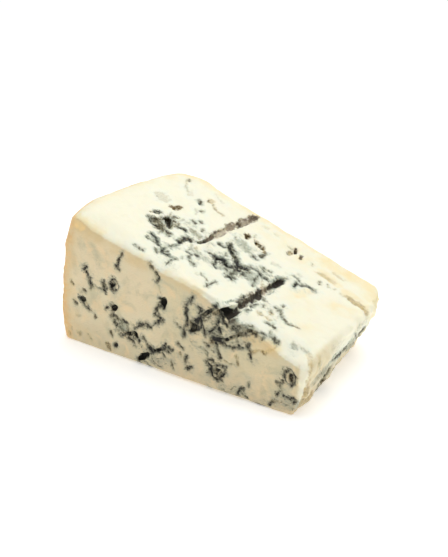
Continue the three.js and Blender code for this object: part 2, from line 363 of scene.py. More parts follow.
# Each hollow: its face, its path, its width, and its depth at the two ends.
CHANNELS = [
    ("top", [(42.4, 53.4), (42.5, 50), (42.2, 46), (41.6, 40), (41.4, 34), (41.5, 29)], 2.9, 1.5, 1.9),
    ("top", [(41.5, 29), (41.8, 26), (41.9, 24), (41.2, 20.6)], 1.6, 1.6, 0.8),
    ("top", [(67.9, 27.6), (68.3, 24), (68.1, 18), (68.2, 12), (67.7, 6), (67.5, -4)], 3.0, 1.5, 2.6),
]
TEARS = [
    ("top", [(23.2, 19.2), (26.5, 17), (30, 15.7), (32.6, 16.4)], 3.6, 0.9, 1.1),
    ("top", [(26.0, 24.2), (28.3, 22.2), (31, 19.6)], 2.4, 2.4, 2.8),
    ("top", [(47, 30.3), (49.5, 26.4), (52.5, 24.8), (55.2, 22.6)], 1.1, 0.9, 1.2),
    ("top", [(48.6, 19.4), (49.6, 18.7), (51.2, 20.2), (53.6, 18.2), (55, 19)], 1.2, 1.1, 1.2),
    ("top", [(55.6, 20.6), (57, 21.8), (58.6, 22.7)], 1.5, 1.0, 0.8),
    ("top", [(50.7, 39.6), (52.8, 38.6), (55.2, 37.5)], 1.9, 1.3, 1.0),
    ("top", [(37.3, 7.5), (39.2, 5.9), (42.6, 6.6)], 1.0, 1.0, 0.7),
    ("top", [(85.2, 39.6), (88, 38.8), (91, 39), (93.4, 37.6)], 1.9, 1.0, 1.2),
    ("front", [(32.8, 1.9), (34.4, 3.2), (36.8, 5.0)], 2.5, 1.9, 1.6),
    ("front", [(37.4, 6.4), (40.5, 7.4), (43.2, 9.0), (45.6, 9.0)], 1.0, 1.0, 0.6),
    ("front", [(51.8, 24.4), (52, 22), (53.4, 20), (56, 20)], 0.9, 0.7, 1.0),
    ("front", [(53.4, 18.2), (54.6, 19.6)], 1.9, 1.4, 1.6),
    ("front", [(56, 20.4), (57.8, 23), (59.6, 25.6), (62.2, 27.4)], 1.2, 1.0, 1.4),
    ("front", [(26.6, 8.6), (29.2, 10), (31.6, 11), (32.7, 8.8)], 1.3, 0.8, 1.6),
    ("front", [(34, 14.6), (37, 14.2), (41.6, 17.8)], 0.8, 0.6, 0.7),
    ("front", [(40, 19.6), (40.8, 22), (43, 23.6)], 0.8, 0.6, 0.9),
    ("front", [(61.8, 17.5), (66.3, 18.2), (70.4, 21), (74, 22.6)], 1.1, 1.1, 0.9),
]
EYES = [
    ("top", [(22.6, 22.6), (23.5, 23.5)], 1.5, 1.3, 1.3),
    ("top", [(24.2, 30.6), (24.7, 32.8)], 2.4, 1.1, 1.3),
    ("top", [(26, 43.4), (27.1, 41.8)], 1.0, 0.8, 0.8),
    ("top", [(38, 19.3), (37.8, 15.4)], 1.4, 0.8, 1.0),
    ("top", [(47.6, 40), (48.2, 39)], 2.0, 1.5, 1.5),
    ("top", [(61.5, 48), (62.4, 46.2)], 1.2, 1.1, 1.1),
    ("top", [(64.8, 46), (65.3, 44.8)], 1.3, 1.1, 1.1),
    ("top", [(73, 43.4), (78.4, 42.9)], 2.0, 0.7, 0.7),
    ("top", [(79.4, 10.4), (81.8, 10.1)], 0.9, 0.8, 0.8),
    ("front", [(9.4, 16.9), (10.3, 17.3)], 1.7, 1.6, 1.4),
    ("front", [(11, 15.8), (11.8, 14.7)], 1.0, 1.0, 0.7),
    ("front", [(22.6, 16.8), (23.6, 17.6)], 1.9, 1.2, 1.3),
    ("front", [(22.7, 24.7), (23.2, 25.7), (24.2, 26)], 1.5, 1.4, 1.0),
    ("front", [(18.9, 23), (19.3, 24.4)], 1.3, 0.9, 0.9),
    ("front", [(43.2, 23.6), (43.6, 24.9)], 2.3, 2.0, 2.0),
    ("front", [(62.4, 6.9), (63.8, 7.5)], 1.9, 1.3, 1.3),
    ("front", [(61, 4.8), (63.6, 4.6), (65.5, 6.4), (65.6, 8.4)], 0.8, 0.8, 0.6),
    ("front", [(87.9, 11), (87.6, 13.4)], 2.3, 1.3, 1.2),
    ("front", [(65, 26.5), (68.6, 26.8)], 3.0, 3.6, 3.8),
    ("nose", [(14, 5.4), (19.5, 2.2)], 3.2, 0.8, 0.8),
    *(("back", path, NEEDLE_HOLE_WIDTH, depth, depth) for path, depth in NEEDLE_HOLES),
    ("base", [(22.5, 43), (25.5, 45)], 2.4, 1.3, 1.3),
    ("base", [(33, 15.8), (33, 18.2)], 2.2, 1.1, 1.1),
    ("base", [(56.5, 13.5), (59.5, 12.5)], 2.0, 1.2, 1.2),
    ("base", [(65.2, 42), (66.8, 42)], 2.2, 1.3, 1.3),
]
CHIPS = [
    ("front", [(53.8, 31.8), (58, 30.4), (61, 29.3)], 2.2, 0.9, 0.9),
    ("front", [(75.4, 23.4), (79, 22.4), (82, 21.2)], 3.0, 1.2, 1.2),
]
GROOVES = [
    ("nose", [(1.2, -3), (1.3, 3), (1.7, 7), (1.6, 10), (1.1, 12.7), (0.4, 15.6), (-0.6, 19)], 0.9, 2.0, 1.2),
    ("nose", [(2.4, -2), (2.8, 3), (2.4, 7)], 1.8, 1.3, 0.5),
    ("nose", [(8.6, 2), (6.6, 8), (6.1, 12), (5.3, 17.5)], 1.4, 0.6, 0.6),
    ("nose", [(19.5, 10.3), (22.8, 10.7), (25.9, 10.2), (29.4, 9.4), (33, 8.4)], 1.1, 0.6, 0.8),
    ("nose", [(33, 8.4), (39, 8.4), (45, 9.4), (50, 10)], 0.7, 0.6, 0.6),
    ("front", [(90.4, 17), (90.4, 13), (90.3, 9), (90.2, 5)], 0.7, 0.4, 0.4),
]


def rough_lump():
    """One ball, roughened, that every hollow is built up from."""
    deselect_all()
    bpy.ops.mesh.primitive_ico_sphere_add(subdivisions=3, radius=1.0)
    lump = bpy.context.object
    lump.name = "lump"
    settle_place(lump)
    p = vertices(lump)
    set_vertices(lump, p * (1.0 + LUMP_ROUGHNESS * noise_at(p, LUMP_BUMP_SIZE, 3.0))[:, None])
    return lump


def spaced_along(points, step):
    """Places along a path of points, no further apart than the step, with the share of the way to each."""
    legs = [(b - a).length for a, b in zip(points, points[1:])]
    total = sum(legs)
    count = max(1, math.ceil(total / step))
    for i in range(count + 1):
        gone = total * i / count
        for a, b, leg in zip(points, points[1:], legs):
            if gone <= leg or b is points[-1]:
                yield a.lerp(b, min(1.0, gone / leg)), i / count
                break
            gone -= leg


def hollow_lumps(lump, face, path, width, depth_start, depth_end, rng, taper):
    """Copies of the lump, sunk in a row along a path on a face, and thinner by the taper at its ends."""
    normal = FACE_NORMALS[face]
    turn = normal.to_track_quat("Z", "Y")
    points = [face_point(face, u, v) for u, v in path]
    lumps = []
    for place, share in spaced_along(points, LUMP_STEP * width):
        depth = depth_start + (depth_end - depth_start) * share
        girth = width / 2 * (1.0 + rng.uniform(-LUMP_JITTER, LUMP_JITTER))
        girth *= 1.0 - taper * abs(2.0 * share - 1.0) ** 3
        drift = Vector([rng.uniform(-1, 1) * LUMP_JITTER * width for _ in range(3)])
        piece = lump.copy()
        piece.data = lump.data.copy()
        bpy.context.collection.objects.link(piece)
        piece.location = Vector(to_metres([place + drift])[0])
        piece.rotation_mode = "QUATERNION"
        piece.rotation_quaternion = turn
        depth *= 1.0 + rng.uniform(-DEPTH_JITTER, DEPTH_JITTER)
        piece.scale = Vector((girth, girth, depth)) * MM
        lumps.append(piece)
    return lumps


def join(pieces, name):
    """Joins pieces into one object."""
    deselect_all()
    for piece in pieces:
        piece.select_set(True)
    bpy.context.view_layer.objects.active = pieces[0]
    bpy.ops.object.join()
    whole = bpy.context.object
    whole.name = name
    settle_place(whole)
    return whole


def cut_hollows(wedge):
    """Cuts every hollow out of the wedge at once."""
    rng = random.Random(HOLLOW_SEED)
    lump = rough_lump()
    lumps = []
    for hollows, taper in ((CHANNELS, 0.0), (TEARS, TEAR_TAPER), (EYES + CHIPS + GROOVES, 0.0)):
        for face, path, width, start, end in hollows:
            lumps += hollow_lumps(lump, face, path, width, start, end, rng, taper)
    cutter = join(lumps, "hollows")
    finish_with(cutter, "REMESH", mode="VOXEL", voxel_size=CUTTER_VOXEL * MM)
    finish_with(wedge, "BOOLEAN", operation="DIFFERENCE", object=cutter, solver="MANIFOLD")
    for spent in (cutter, lump):
        bpy.data.objects.remove(spent)


# ---------------------------------------------------------------------------------------------------------
# Skin: the fine mesh of the finished wedge

SKIN_VOXEL = 0.46
SURFACE_REACH = 0.45  # what lies further off the form than this is hollow, and stays where it is
HIDDEN_SHARE = 0.42
FLAT_FACING = 0.97


def refine(wedge):
    """Remeshes the cut wedge finely, and smooths back what isn't hollow onto the rounded form."""
    finish_with(wedge, "REMESH", mode="VOXEL", voxel_size=SKIN_VOXEL * MM)
    finish_with(wedge, "SMOOTH", factor=0.5, iterations=2)
    p = to_wedge(vertices(wedge))
    relief = swellings(p)
    off = wedge_distance(p, relief)
    hold = 1.0 - smoothstep(np.abs(off), SURFACE_REACH * 0.6, SURFACE_REACH)
    set_vertices(wedge, to_metres(p - form_slopes(p, relief) * (off * hold)[:, None]))
    thin_flats(wedge)


def thin_flats(wedge):
    """Merges the small faces of the flat base and the flat rind into larger ones, as little shows there."""
    pick(wedge)
    bpy.ops.object.mode_set(mode="EDIT")
    bpy.ops.mesh.select_mode(type="FACE")
    bpy.ops.mesh.select_all(action="DESELECT")
    bpy.ops.object.mode_set(mode="OBJECT")
    facing = np.empty(len(wedge.data.polygons) * 3)
    wedge.data.polygons.foreach_get("normal", facing)
    facing = facing.reshape(-1, 3)
    flat = (facing[:, 2] < -FLAT_FACING) | (facing[:, 1] > FLAT_FACING)
    wedge.data.polygons.foreach_set("select", flat)
    bpy.ops.object.mode_set(mode="EDIT")
    bpy.ops.mesh.decimate(ratio=HIDDEN_SHARE)
    bpy.ops.object.mode_set(mode="OBJECT")


# ---------------------------------------------------------------------------------------------------------
# Mould marks. Each is (darkness, warmth, half width, path): warmth 0 is blue-black mould, 1 is brown, and a
# mark of a darkness above 1 stays dark up to its edge.

TOP_MARKS = [
    (0.75, 0.5, 0.5, [(30.6, 17.8), (32.1, 17.4)]),
    (0.7, 0.3, 0.4, [(25.8, 21.5), (27.8, 19.4)]),
    (0.5, 0.35, 1.1, [(25.4, 20.1), (28.9, 18.7)]),
    (0.55, 1, 0.5, [(22.4, 31.4), (23.3, 31.7)]),
    (0.6, 1, 0.4, [(24.1, 33.8), (25.1, 33.6)]),
    (0.4, 0.4, 0.22, [(25.7, 27.2), (26.9, 25.9), (28.1, 24)]),
    (0.5, 0.4, 0.45, [(27.7, 26.8), (28.5, 27.1)]),
    (0.25, 0.3, 0.3, [(30, 28.3), (30.1, 26)]),
    (0.75, 0.35, 0.5, [(22, 23.1), (23.1, 24.2)]),
    (0.6, 0.8, 0.35, [(22, 22.6), (21.2, 21.8)]),
    (0.6, 0.35, 0.4, [(25.2, 22.2), (26.2, 20.7)]),
    (0.7, 0.4, 0.35, [(29.8, 17.6), (31, 17.8), (32.9, 17.4)]),
    (0.6, 0.3, 0.3, [(31.8, 17.3), (33.3, 15.6)]),
    (0.35, 0.3, 0.7, [(30, 22.7), (30.9, 22.5)]),
    (0.7, 0.5, 0.35, [(27.6, 26.7), (28.3, 27)]),
    (0.7, 0.4, 0.55, [(25.4, 43.8), (26, 43.3), (26.9, 42)]),
    (0.25, 1, 1.2, [(27.4, 47.9), (28.1, 47)]),
    (0.55, 0.7, 0.45, [(27.1, 46.9), (27.7, 45.9)]),
    (0.3, 0.8, 0.5, [(29.5, 46.2), (31.4, 44.2), (33, 43.8), (35.4, 43.2)]),
    (0.5, 0.4, 0.45, [(30, 38.9), (30.4, 37.4)]),
    (0.22, 0.3, 0.25, [(28.2, 37.6), (30.5, 34.7)]),
    (0.16, 0.5, 1.6, [(15.7, 34.3), (18.9, 32.6)]),
    (0.28, 0.4, 0.7, [(16.1, 32.4), (17, 32)]),
    (0.4, 0.4, 0.3, [(14.8, 52.3), (15.3, 51.3)]),
    (0.25, 0.5, 0.28, [(14.3, 51.2), (16.9, 47.6), (18.8, 45.8), (21.5, 43)]),
    (0.16, 0.5, 0.2, [(19.9, 47), (22.1, 44)]),
    (0.14, 0.5, 0.4, [(25.8, 53), (27.6, 52.2), (30.4, 50.6)]),
    (0.6, 0.2, 0.5, [(33.9, 32.3), (34.6, 31.8)]),
    (0.6, 0.2, 0.5, [(32.3, 30.4), (33.7, 29.6)]),
    (0.55, 0.2, 0.35, [(37.1, 28.8), (37.8, 28.1)]),
    (0.33, 0.3, 0.8, [(35.4, 25.4), (37.3, 24.7)]),
    (0.3, 0.3, 0.6, [(38.5, 24.7), (40, 23.1)]),
    (0.88, 0.3, 0.5, [(31.4, 22.6), (32.5, 23), (34.3, 23.2)]),
    (0.4, 0.4, 0.5, [(30.5, 24.7), (31.4, 23.6)]),
    (0.8, 0.4, 0.7, [(36.7, 20.1), (38.5, 20)]),
    (0.7, 0.4, 0.75, [(37.8, 19.3), (37, 17.7)]),
    (0.4, 0, 0.85, [(38, 13.8), (37.9, 12.1)]),
    (0.55, 0.1, 0.4, [(37.1, 11.3), (38.4, 10.7)]),
    (1, 0.1, 0.48, [(30, 11.4), (31.8, 11.1), (32.8, 10.1), (34, 9.1), (34.8, 8.6)]),
    (0.5, 0.1, 0.4, [(30.3, 8.6), (31.3, 8)]),
    (0.35, 0.1, 0.45, [(32.6, 8.4), (33.4, 8.1)]),
    (0.95, 0.2, 0.55, [(36.9, 8.1), (37.9, 7), (38.7, 6.4), (40, 6.6)]),
    (0.5, 0.1, 0.3, [(38.2, 7.6), (38.7, 8.5)]),
    (0.85, 0.2, 0.38, [(40, 6.6), (41.5, 6.6), (42.6, 6.9)]),
    (0.6, 0.2, 0.3, [(42.4, 6.9), (42.2, 4.9), (42.7, 3.3), (42.6, 2.4)]),
    (0.55, 0.2, 0.42, [(35.9, 5.8), (37, 4.7)]),
    (0.5, 0.2, 0.26, [(30.7, 2.2), (32.4, 2.3), (33.9, 2.1)]),
    (0.75, 0.1, 0.75, [(44.5, 14.9), (45.1, 14.8)]),
    (0.7, 0.1, 0.4, [(41.9, 13.8), (43.7, 13.1)]),
    (0.55, 0.1, 0.36, [(44.1, 12.8), (44.5, 11), (45.7, 9.9), (47.3, 9.4), (48.1, 8.9)]),
    (0.3, 0.1, 0.4, [(43.1, 9.5), (43.6, 9.1)]),
    (0.3, 0.2, 0.3, [(41, 18.1), (41.7, 15.6), (41.9, 13.8)]),
    (0.3, 0.7, 0.4, [(42.2, 18.2), (42.6, 17.8)]),
    (0.55, 0.2, 0.45, [(45.5, 19.4), (47.5, 19.9)]),
    (0.7, 0.8, 0.6, [(47.3, 41.1), (48.3, 38)]),
    (0.3, 0.4, 0.3, [(48.6, 43.3), (49.1, 41.4)]),
    (0.4, 0.7, 0.4, [(54.4, 38.7), (56.4, 36.6)]),
    (0.65, 0.3, 0.42, [(57, 36.9), (57, 35.1), (57.1, 33.7)]),
    (0.65, 0.3, 0.6, [(56.7, 34), (57.3, 33.4)]),
    (0.65, 0.2, 0.42, [(54.7, 31.5), (56, 30.7), (57, 30.5)]),
    (0.4, 0.3, 0.4, [(45.6, 35.9), (46.7, 34.5)]),
    (0.22, 0.2, 0.3, [(46.1, 32.8), (46.6, 31.3)]),
    (0.22, 0.2, 1, [(49, 34.9), (52.4, 31.8)]),
    (0.82, 0.2, 0.55, [(47, 30.6), (47.6, 29.6), (48, 28.7), (48.9, 27.4), (50.4, 26.3)]),
    (0.78, 0.2, 0.5, [(50.4, 26.3), (52, 25.7), (53.3, 24.5), (54, 23.7)]),
    (0.95, 0.2, 0.75, [(54.1, 23.8), (55, 22.8)]),
    (0.6, 0.2, 0.4, [(48.4, 29.6), (49.3, 28.5), (51.6, 27.4)]),
    (0.75, 0.2, 0.42, [(45.1, 27.3), (45.8, 26.7), (47.1, 26.9)]),
    (0.5, 0.2, 0.5, [(49.7, 23.9), (50.2, 23.2)]),
    (0.75, 0.2, 0.42, [(49.8, 18.2), (50.4, 17.1), (51.2, 15.3), (52.1, 14.6)]),
    (0.88, 0.4, 0.9, [(55.5, 21.8), (56.6, 22.6), (57.9, 23.2)]),
    (0.8, 0.4, 0.75, [(56.1, 20.6), (56.9, 20.2)]),
    (0.65, 0.2, 0.5, [(55.7, 20.1), (57.1, 18.2), (57.4, 17.1)]),
    (0.55, 0.1, 0.42, [(54.3, 16.8), (55.8, 15.6), (57.2, 15.8), (57.6, 17.4)]),
    (0.8, 0.2, 0.7, [(56.9, 14), (58.5, 14.5)]),
    (0.6, 0.2, 0.4, [(58.4, 15), (59.1, 13.5)]),
    (0.75, 0.1, 0.55, [(58.5, 19.7), (59.8, 19.1)]),
    (0.4, 0.1, 0.32, [(57.3, 26.1), (58.3, 24.7)]),
    (0.82, 0.1, 0.45, [(59.2, 25.2), (61.1, 25), (62.3, 24.2), (63.4, 23.7), (64.9, 24.1)]),
    (0.45, 0.1, 0.55, [(60.1, 28.6), (61.4, 28.1), (62.3, 26.8)]),
    (0.4, 0.1, 0.5, [(62.7, 28.9), (63.5, 28.8)]),
    (0.55, 0.1, 0.32, [(62.2, 23.2), (62.8, 21), (63.3, 19.1), (64.3, 17)]),
    (0.6, 0.3, 0.35, [(56.5, 8.5), (56.3, 6.9), (56.1, 5.4), (56.3, 3.5)]),
    (0.38, 0.4, 0.28, [(51.7, 7.7), (53.4, 7.2), (54.8, 6.5)]),
    (0.2, 0.3, 0.4, [(50.5, 6.5), (51.3, 6.5)]),
    (0.12, 0.3, 0.6, [(47.6, 50.9), (48.8, 50.6)]),
    (0.12, 0.3, 0.6, [(52.2, 50.3), (53, 50.2)]),
    (0.25, 0.4, 0.35, [(59.2, 47.8), (60.2, 47.7)]),
    (0.4, 0.8, 0.9, [(61, 45.7), (61.4, 44.7)]),
    (0.45, 0.5, 0.35, [(60.8, 44.1), (61.2, 43.7)]),
    (0.3, 0.5, 0.3, [(68.9, 46.2), (69.4, 45.3)]),
    (0.18, 1, 0.9, [(72.4, 43.3), (75.3, 43.5), (78.4, 43.5)]),
    (0.2, 0.9, 0.5, [(76.1, 47.7), (79.9, 47.6)]),
    (0.26, 1, 1, [(84.9, 39.6), (87.7, 39.7)]),
    (0.42, 1, 0.4, [(86.3, 40.1), (87.3, 39.8)]),
    (0.5, 0.6, 0.38, [(75.3, 39.3), (76.2, 37.3)]),
    (0.35, 0.6, 0.35, [(78, 39.8), (78.7, 39)]),
    (0.28, 0.6, 0.3, [(80.7, 40.2), (80.6, 39.3)]),
    (0.15, 0.6, 0.5, [(83, 39.2), (84.1, 38.8)]),
    (0.5, 0.1, 0.38, [(69, 33.6), (70.4, 33.7), (71.4, 33.1), (73, 32.4)]),
    (0.75, 0.1, 0.42, [(73.6, 32.3), (74.6, 32.7)]),
    (0.6, 0.1, 0.38, [(74.6, 32.7), (75.4, 33.1), (77, 33)]),
    (0.25, 0.1, 0.9, [(76.8, 32.7), (77.1, 31.8)]),
    (0.75, 0.1, 0.38, [(73.4, 32), (73, 31.1)]),
    (0.8, 0.1, 0.48, [(71.7, 31.1), (71.7, 29.8), (72, 28.9)]),
    (0.14, 0.2, 0.6, [(69.5, 36.3), (70.4, 36)]),
    (0.16, 0.2, 0.7, [(61.4, 33.5), (63.5, 34)]),
    (0.45, 0.2, 0.38, [(75.4, 16.6), (76, 15.6)]),
    (0.7, 0.2, 0.42, [(75.3, 13.4), (75.9, 13.1)]),
    (0.45, 0.2, 0.3, [(74.2, 13.6), (75.3, 13.4), (76.7, 12.8), (77.3, 11.9)]),
    (0.6, 0.3, 0.38, [(78, 11.3), (79.4, 10.6), (80.5, 10), (81.8, 10.3)]),
    (0.4, 0.6, 0.4, [(81.9, 10.5), (83.9, 11.1)]),
    (0.55, 0.2, 0.38, [(74.5, 11.2), (75.4, 9.6)]),
    (0.45, 0.2, 0.32, [(71.3, 11.5), (72, 10.3)]),
    (0.3, 0.6, 0.7, [(73, 7.2), (73.8, 6.4)]),
    (0.4, 0.7, 0.32, [(75.3, 7.5), (76.6, 6.8)]),
    (0.58, 0.2, 0.4, [(76.7, 5.2), (77.9, 5), (79.5, 5)]),
    (0.5, 0.2, 0.35, [(78.1, 6.1), (78.4, 5.2)]),
    # Along the needle channels
    (0.6, 0.8, 0.5, [(41.1, 54.1), (41, 49.7), (40.4, 46.8)]),
    (0.85, 0.5, 0.4, [(65.9, 5.2), (66.2, 5.3)]),
    (0.8, 0.5, 0.4, [(66.2, 8.1), (65.8, 10.3)]),
    (0.85, 0.2, 0.32, [(70, 4.4), (69.8, 6.6), (69.6, 8.6), (70, 9.7)]),
    (0.3, 1, 0.5, [(74.8, 10.1), (75.5, 9.7)]),
    (0.3, 1, 0.4, [(75.3, 7.2), (76.2, 7)]),
    (0.35, 0.3, 0.5, [(67.9, 30.4), (68.5, 30.4)]),
    (0.3, 0.9, 0.5, [(73.1, 6.4), (73.5, 6.8)]),
]

